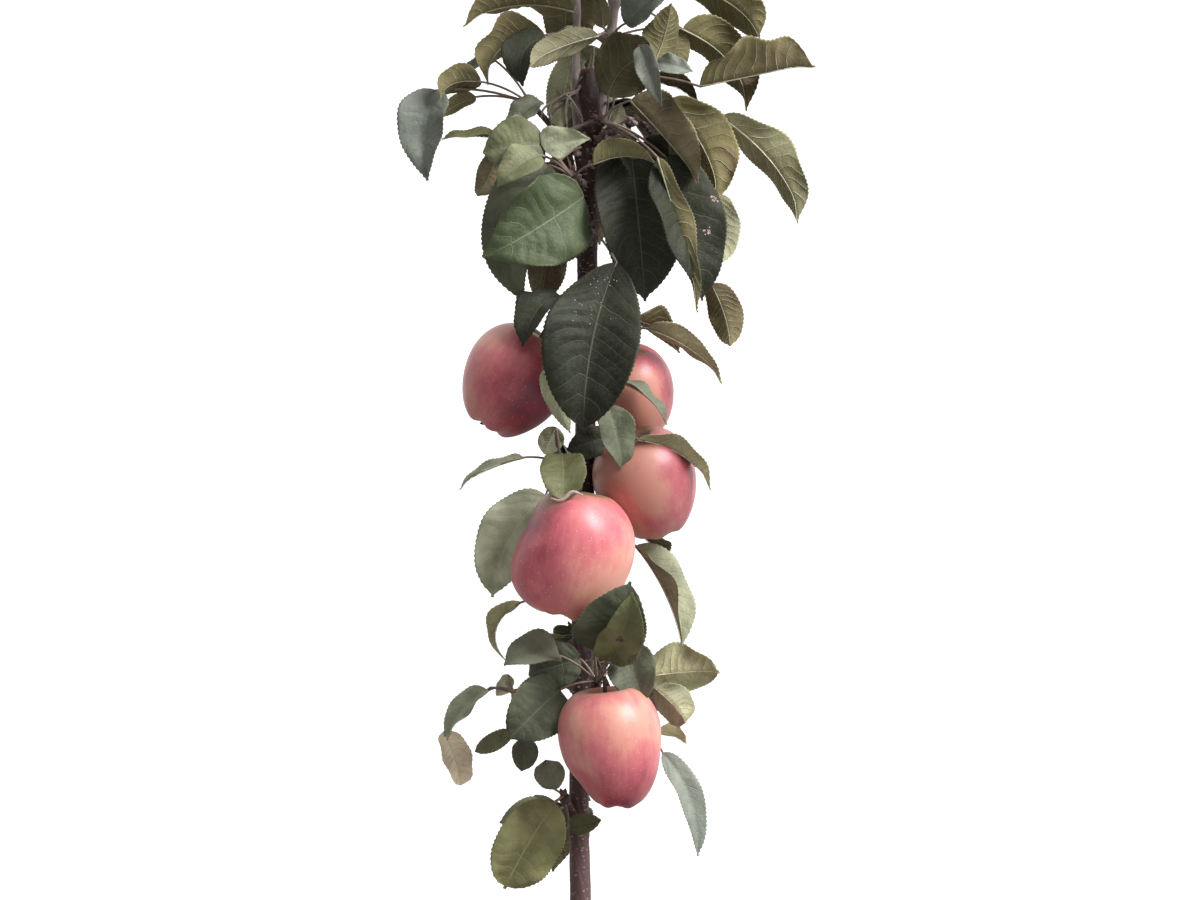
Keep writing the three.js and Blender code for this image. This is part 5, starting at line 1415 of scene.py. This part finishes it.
# bare stalks, each a curve through points
bareStalks = [
    [[-9, 14, 935], [-22, 2, 932], [-28, -6, 926], [-29, -8, 920]],
    [[-9, 14, 935], [-19, 4, 928], [-23, -4, 921], [-22, -8, 916]],
    [[-9, 14, 936], [-12, -2, 928], [-12, -10, 914]], [[-9, 14, 936], [-7, -2, 928], [-1, -12, 917]],
    [[-9, 14, 936], [-6, 0, 942], [-2, -8, 948]], [[14, 10, 933], [15, -6, 928], [13, -14, 915]],
    [[-11, -12, 911], [-3, -13, 915], [10, -17, 918], [23, -27, 910], [36, -39, 900], [47, -48, 891]],
    [[-3, -6, 942], [-6, -8, 938], [-13, -11, 936], [-22, -12, 930], [-25, -12, 922]],
    [[-5, -6, 938], [-11, -12, 934], [-13, -13, 924], [-12, -13, 915]],
    [[-13, -12, 936], [-8, -12, 931], [-1, -9, 919]],
    [[-5, -5, 939], [-16, -9, 934], [-23, -9, 926], [-22, -9, 918]],
    [[16, -5, 938], [15, -9, 928], [14, -12, 917]], [[20, -4, 937], [18, -8, 927], [15, -12, 916]],
    [[-3, -9, 901], [-9, -14, 898], [-18, -20, 890]],
]
# shares of a bare stalk's radius along it, and its radius where it is short or long
stalkTaper = ([0, 0.08, 0.2, 0.9, 1], [1.8, 1.4, 1, 0.95, 0.5])
stalkRadii = {"short": 0.8, "long": 1.35, "shortPoints": 5, "steps": 24, "sides": 8}
# knobs of old bud scars, then gnarled wood where the spurs crowd below the stub
knobs = [[9, -12, 905], [8, -11, 892], [-9, -9, 884], [31, -12, 906], [-11, -8, 911]]
gnarls = [[10, -11, 914], [2, -9, 908], [15, -12, 905], [25, -7, 913], [32, 0, 919], [-5, -7, 898],
          [8, -9, 898], [-5, -8, 881], [-2, -8, 877], [18, -11, 915], [5, -9, 889]]
knobShape = {
    "radius": 2.4, "swell": 0.8, "swellAt": 0.92, "swellLength": 0.14, "scar": 0.25, "scars": 44,
    "steps": 22, "sides": 9, "climb": 4, "sag": 2, "buds": 3,
}
gnarlLumps = {"count": 6, "strew": (-2.2, 2.2), "size": (1.1, 2.6), "stretch": (0.7, 1.3)}


def makeDetails(heap, budHeap):
    # bare stalks, lumps of gnarled wood, and knobs that go with the spurs' wood and carry three buds each
    bare, swollen, draw = newHeap(), newHeap(), np.random.default_rng(21)
    taper = np.interp(np.linspace(0, 1, stalkRadii["steps"]), *stalkTaper)
    for points in bareStalks:
        radius = stalkRadii["long" if len(points) > stalkRadii["shortPoints"] else "short"]
        pileTube(bare, throughPoints(points, len(taper)), radius * taper, stalkRadii["sides"])
    makePiece("bare_stalks", bare, [mottled("bare_stalk")])
    for place in gnarls:
        for _ in range(gnarlLumps["count"]):
            at = place + draw.uniform(*gnarlLumps["strew"], 3)
            size = draw.uniform(*gnarlLumps["size"]) * draw.uniform(*gnarlLumps["stretch"], 3)
            pile(swollen, lump * size + at, lumpFaces)
    makePiece("gnarls", swollen, [mottled("gnarl")])
    shape, t = knobShape, np.linspace(0, 1, knobShape["steps"])
    scars = shape["scar"] * np.maximum(0, np.sin(t * shape["scars"]))
    radii = shape["radius"] + shape["swell"] * hump(t, shape["swellAt"], shape["swellLength"]) + scars
    for place in np.array(knobs, float):
        inner, _ = trunkAt(place[2] - shape["climb"])
        pileTube(heap, bow(inner, place, -zAxis * shape["sag"], len(t)), radii, shape["sides"])
        for _ in range(shape["buds"]):
            way = vec(*(draw.uniform(*span) for span in budWays["knob"]))
            pileBud(budHeap, "knob", place, unit(way))


bark, youngBark, budHeap = barkMaterial("bark"), barkMaterial("young_bark"), newHeap()
makeTrunk(bark)
makeLeaders(youngBark, budHeap)
makeSpurs(bark, budHeap)
print("bark made")


# sizes of the pot, then the steps of its mesh, its turning marks and its drain holes
potShape = {
    "height": 250, "rimRadius": 145, "rimHeight": 38, "topRadius": 136, "footRadius": 98, "wall": 9,
    "floor": 12, "sides": 144, "cornerSteps": 7, "longestStep": 5, "turning": 0.35, "turningPitch": 3.1,
    "holeRadius": 6, "holeRing": 55, "holes": 3, "holeSides": 32,
}


def roundedProfile(corners, steps):
    # each corner (r, z, radius) becomes a quarter-like arc: a quadratic curve between its tangent points
    corners = np.asarray(corners, float)
    line = [corners[:1, :2]]
    for before, (*here, radius), after in zip(corners[:-2, :2], corners[1:-1], corners[2:, :2]):
        start, end = (here + unit(other - here) * radius for other in (before, after))
        line.append(curve(start, np.array(here), end, steps))
    return np.vstack([*line, corners[-1:, :2]])


def makePot():
    # a turned clay pot with faint turning marks on its outside and three drain holes
    p = potShape
    rimFoot, inner = p["height"] - p["rimHeight"], p["topRadius"] - p["wall"]
    profile = roundedProfile([
        (0, 0, 0), (p["footRadius"] - 2, 0, 3.5), (p["topRadius"] - 0.5, rimFoot, 1.2),
        (p["rimRadius"] - 2, rimFoot + 1, 2.5), (p["rimRadius"], p["height"] - 6, 3),
        (p["rimRadius"] - 4, p["height"], 2.5), (inner + 1, p["height"], 2.5), (inner, rimFoot, 4),
        (p["footRadius"] - p["wall"] + 1, p["floor"], 5), (0, p["floor"], 0)], p["cornerSteps"])
    counts = np.maximum(2, np.linalg.norm(np.diff(profile, axis=0), axis=1) // p["longestStep"]).astype(int)
    pieces = [np.linspace(a, b, n, endpoint=False) for a, b, n in zip(profile, profile[1:], counts)]
    line = np.concatenate(pieces)[1:]
    rings = polar(line[:, :1], bearings(p["sides"])[None, :], line[:, 1:])
    points, faces = closedRings(rings, zAxis * profile[0, 1], zAxis * profile[-1, 1])
    swirl = np.arctan2(points[:, 1], points[:, 0])
    z, outward = points[:, 2], np.hypot(points[:, 0], points[:, 1])
    onWall = smooth(8, 30, z) * (1 - smooth(200, 212, z))
    marks = p["turning"] * np.sin(z / p["turningPitch"] + swirl) * onWall
    isOutside = outward > p["footRadius"] - 8 + (p["topRadius"] - p["footRadius"]) * z / rimFoot
    points[:, :2] *= (1 + marks * isOutside / np.maximum(outward, 1))[:, None]
    heap, cutters = newHeap(), newHeap()
    pile(heap, points, faces)
    pot = makePiece("clay_pot", heap, [clayMaterial()], ["pot"])
    for a in bearings(p["holes"]):
        ends = polar(p["holeRing"], a, np.array([-10, 30]))
        pileTube(cutters, ends, [p["holeRadius"]] * 2, p["holeSides"])
    cutter = newObject("drainCutter", heapMesh("drainCutter", cutters, isFlat=True))
    cut = pot.modifiers.new("drain", "BOOLEAN")
    cut.object, cut.operation, cut.solver = cutter, "DIFFERENCE", "EXACT"
    done = bpy.data.meshes.new_from_object(pot.evaluated_get(bpy.context.evaluated_depsgraph_get()))
    pot.modifiers.clear()
    pot.data = done
    bpy.data.objects.remove(cutter)


clayColours = {"body": (0.40, 0.150, 0.080), "worn": (0.52, 0.24, 0.145), "salt": (0.62, 0.47, 0.38)}


def clayMaterial():
    # mottled clay with a pale bloom of salts, most near the foot
    clay = clayColours["body"]
    material, tree, shader = newMaterial("clay", clay, {"Roughness": 0.88})
    place = objectPlace(tree)
    fine, broad = noise(tree, place, 130.0, 6.0, 0.7), noise(tree, place, 9.0, 5.0, 0.6)
    body = ramp(tree, fine, [(0.3, tint(clay, 0.78)), (0.55, clay), (0.8, clayColours["worn"])])
    salt = maths(tree, "ADD", broad, band(tree, split(tree, place)["Z"], 0.14, 0.0, 0.35))
    bloom = ramp(tree, salt, [(0.52, (0, 0, 0)), (0.85, (0.7, 0.7, 0.7))])
    dress(tree, shader, mixColour(tree, bloom, body, clayColours["salt"]), fine, 0.35, 0.0008)
    return material


# the mound's edge and middle, its rings, and the crumbs on it
compostShape = {
    "edge": 126.0, "edgeHeight": 219.0, "crown": compostTop - 0.4, "crownRadius": 18,
    "rings": 60, "sides": 150, "innerRings": [12, 6], "crumbs": 1500, "crumbReach": 118, "paleCrumbs": 0.14,
    "crumbSize": (0.9, 3.4), "crumbStretch": [(0.7, 1.8), (0.6, 1.2), (0.4, 0.9)], "crumbLumps": (0.75, 1.2),
}


def moundAt(r):
    # height of the compost at radius r, up to its crown at the trunk
    shape = compostShape
    return lerp(shape["edgeHeight"], shape["crown"], 1 - smooth(shape["crownRadius"], shape["edge"], r))


compostColours = {
    "body": (0.028, 0.019, 0.013),
    "grain": [(0.35, (0.014, 0.010, 0.007)), (0.6, (0.040, 0.027, 0.018)), (0.8, (0.10, 0.07, 0.045))],
}


def compostMaterial():
    # fine dark grains with pale ones among them
    material, tree, shader = newMaterial("compost", compostColours["body"], {"Roughness": 0.95})
    grain = noise(tree, objectPlace(tree), 260.0, 6.0, 0.7)
    dress(tree, shader, ramp(tree, grain, compostColours["grain"]), grain, 0.8, 0.002)
    return material


def makeCompost():
    # a mound raised by ripples sin(0.9r + 3a) cos(9a + 0.31r) and sin(2.3r - 17a), with crumbs strewn on it
    shape, foot = compostShape, potShape["floor"] + seatGap
    r = np.concatenate([np.linspace(shape["edge"], 20, shape["rings"]), shape["innerRings"]])[:, None]
    a = bearings(shape["sides"])[None, :]
    ripples = 0.8 * np.sin(r * 0.9 + 3 * a) * np.cos(9 * a + r * 0.31) + 0.6 * np.sin(r * 2.3 - 17 * a)
    top = polar(r, a, moundAt(r) + 0.9 * ripples * smooth(20, 34, r))
    low = polar(potShape["footRadius"] - potShape["wall"] - 1, a, foot)
    heap, draw = newHeap(), np.random.default_rng(5)
    pile(heap, *closedRings(np.concatenate([low, top]), zAxis * foot, zAxis * shape["crown"]))
    for _ in range(shape["crumbs"]):
        radius, angle = shape["crumbReach"] * math.sqrt(draw.uniform(0.035, 1)), draw.uniform(0, tau)
        size = draw.uniform(*shape["crumbSize"])
        size = size * vec(*(draw.uniform(*span) for span in shape["crumbStretch"]))
        turn = draw.uniform(0, tau)
        axes = np.stack([polar(1, turn, 0), polar(1, turn + tau / 4, 0), zAxis])
        crumb = lump * draw.uniform(*shape["crumbLumps"], (len(lump), 1)) * size
        place = polar(radius, angle, moundAt(radius) + 0.4 * size[2])
        pile(heap, crumb @ axes + place, lumpFaces, slots=int(draw.uniform() < shape["paleCrumbs"]))
    makePiece("potting_compost", heap, [compostMaterial(), mottled("crumb")], ["compost"])


makePot()
makeCompost()
print("pot made")
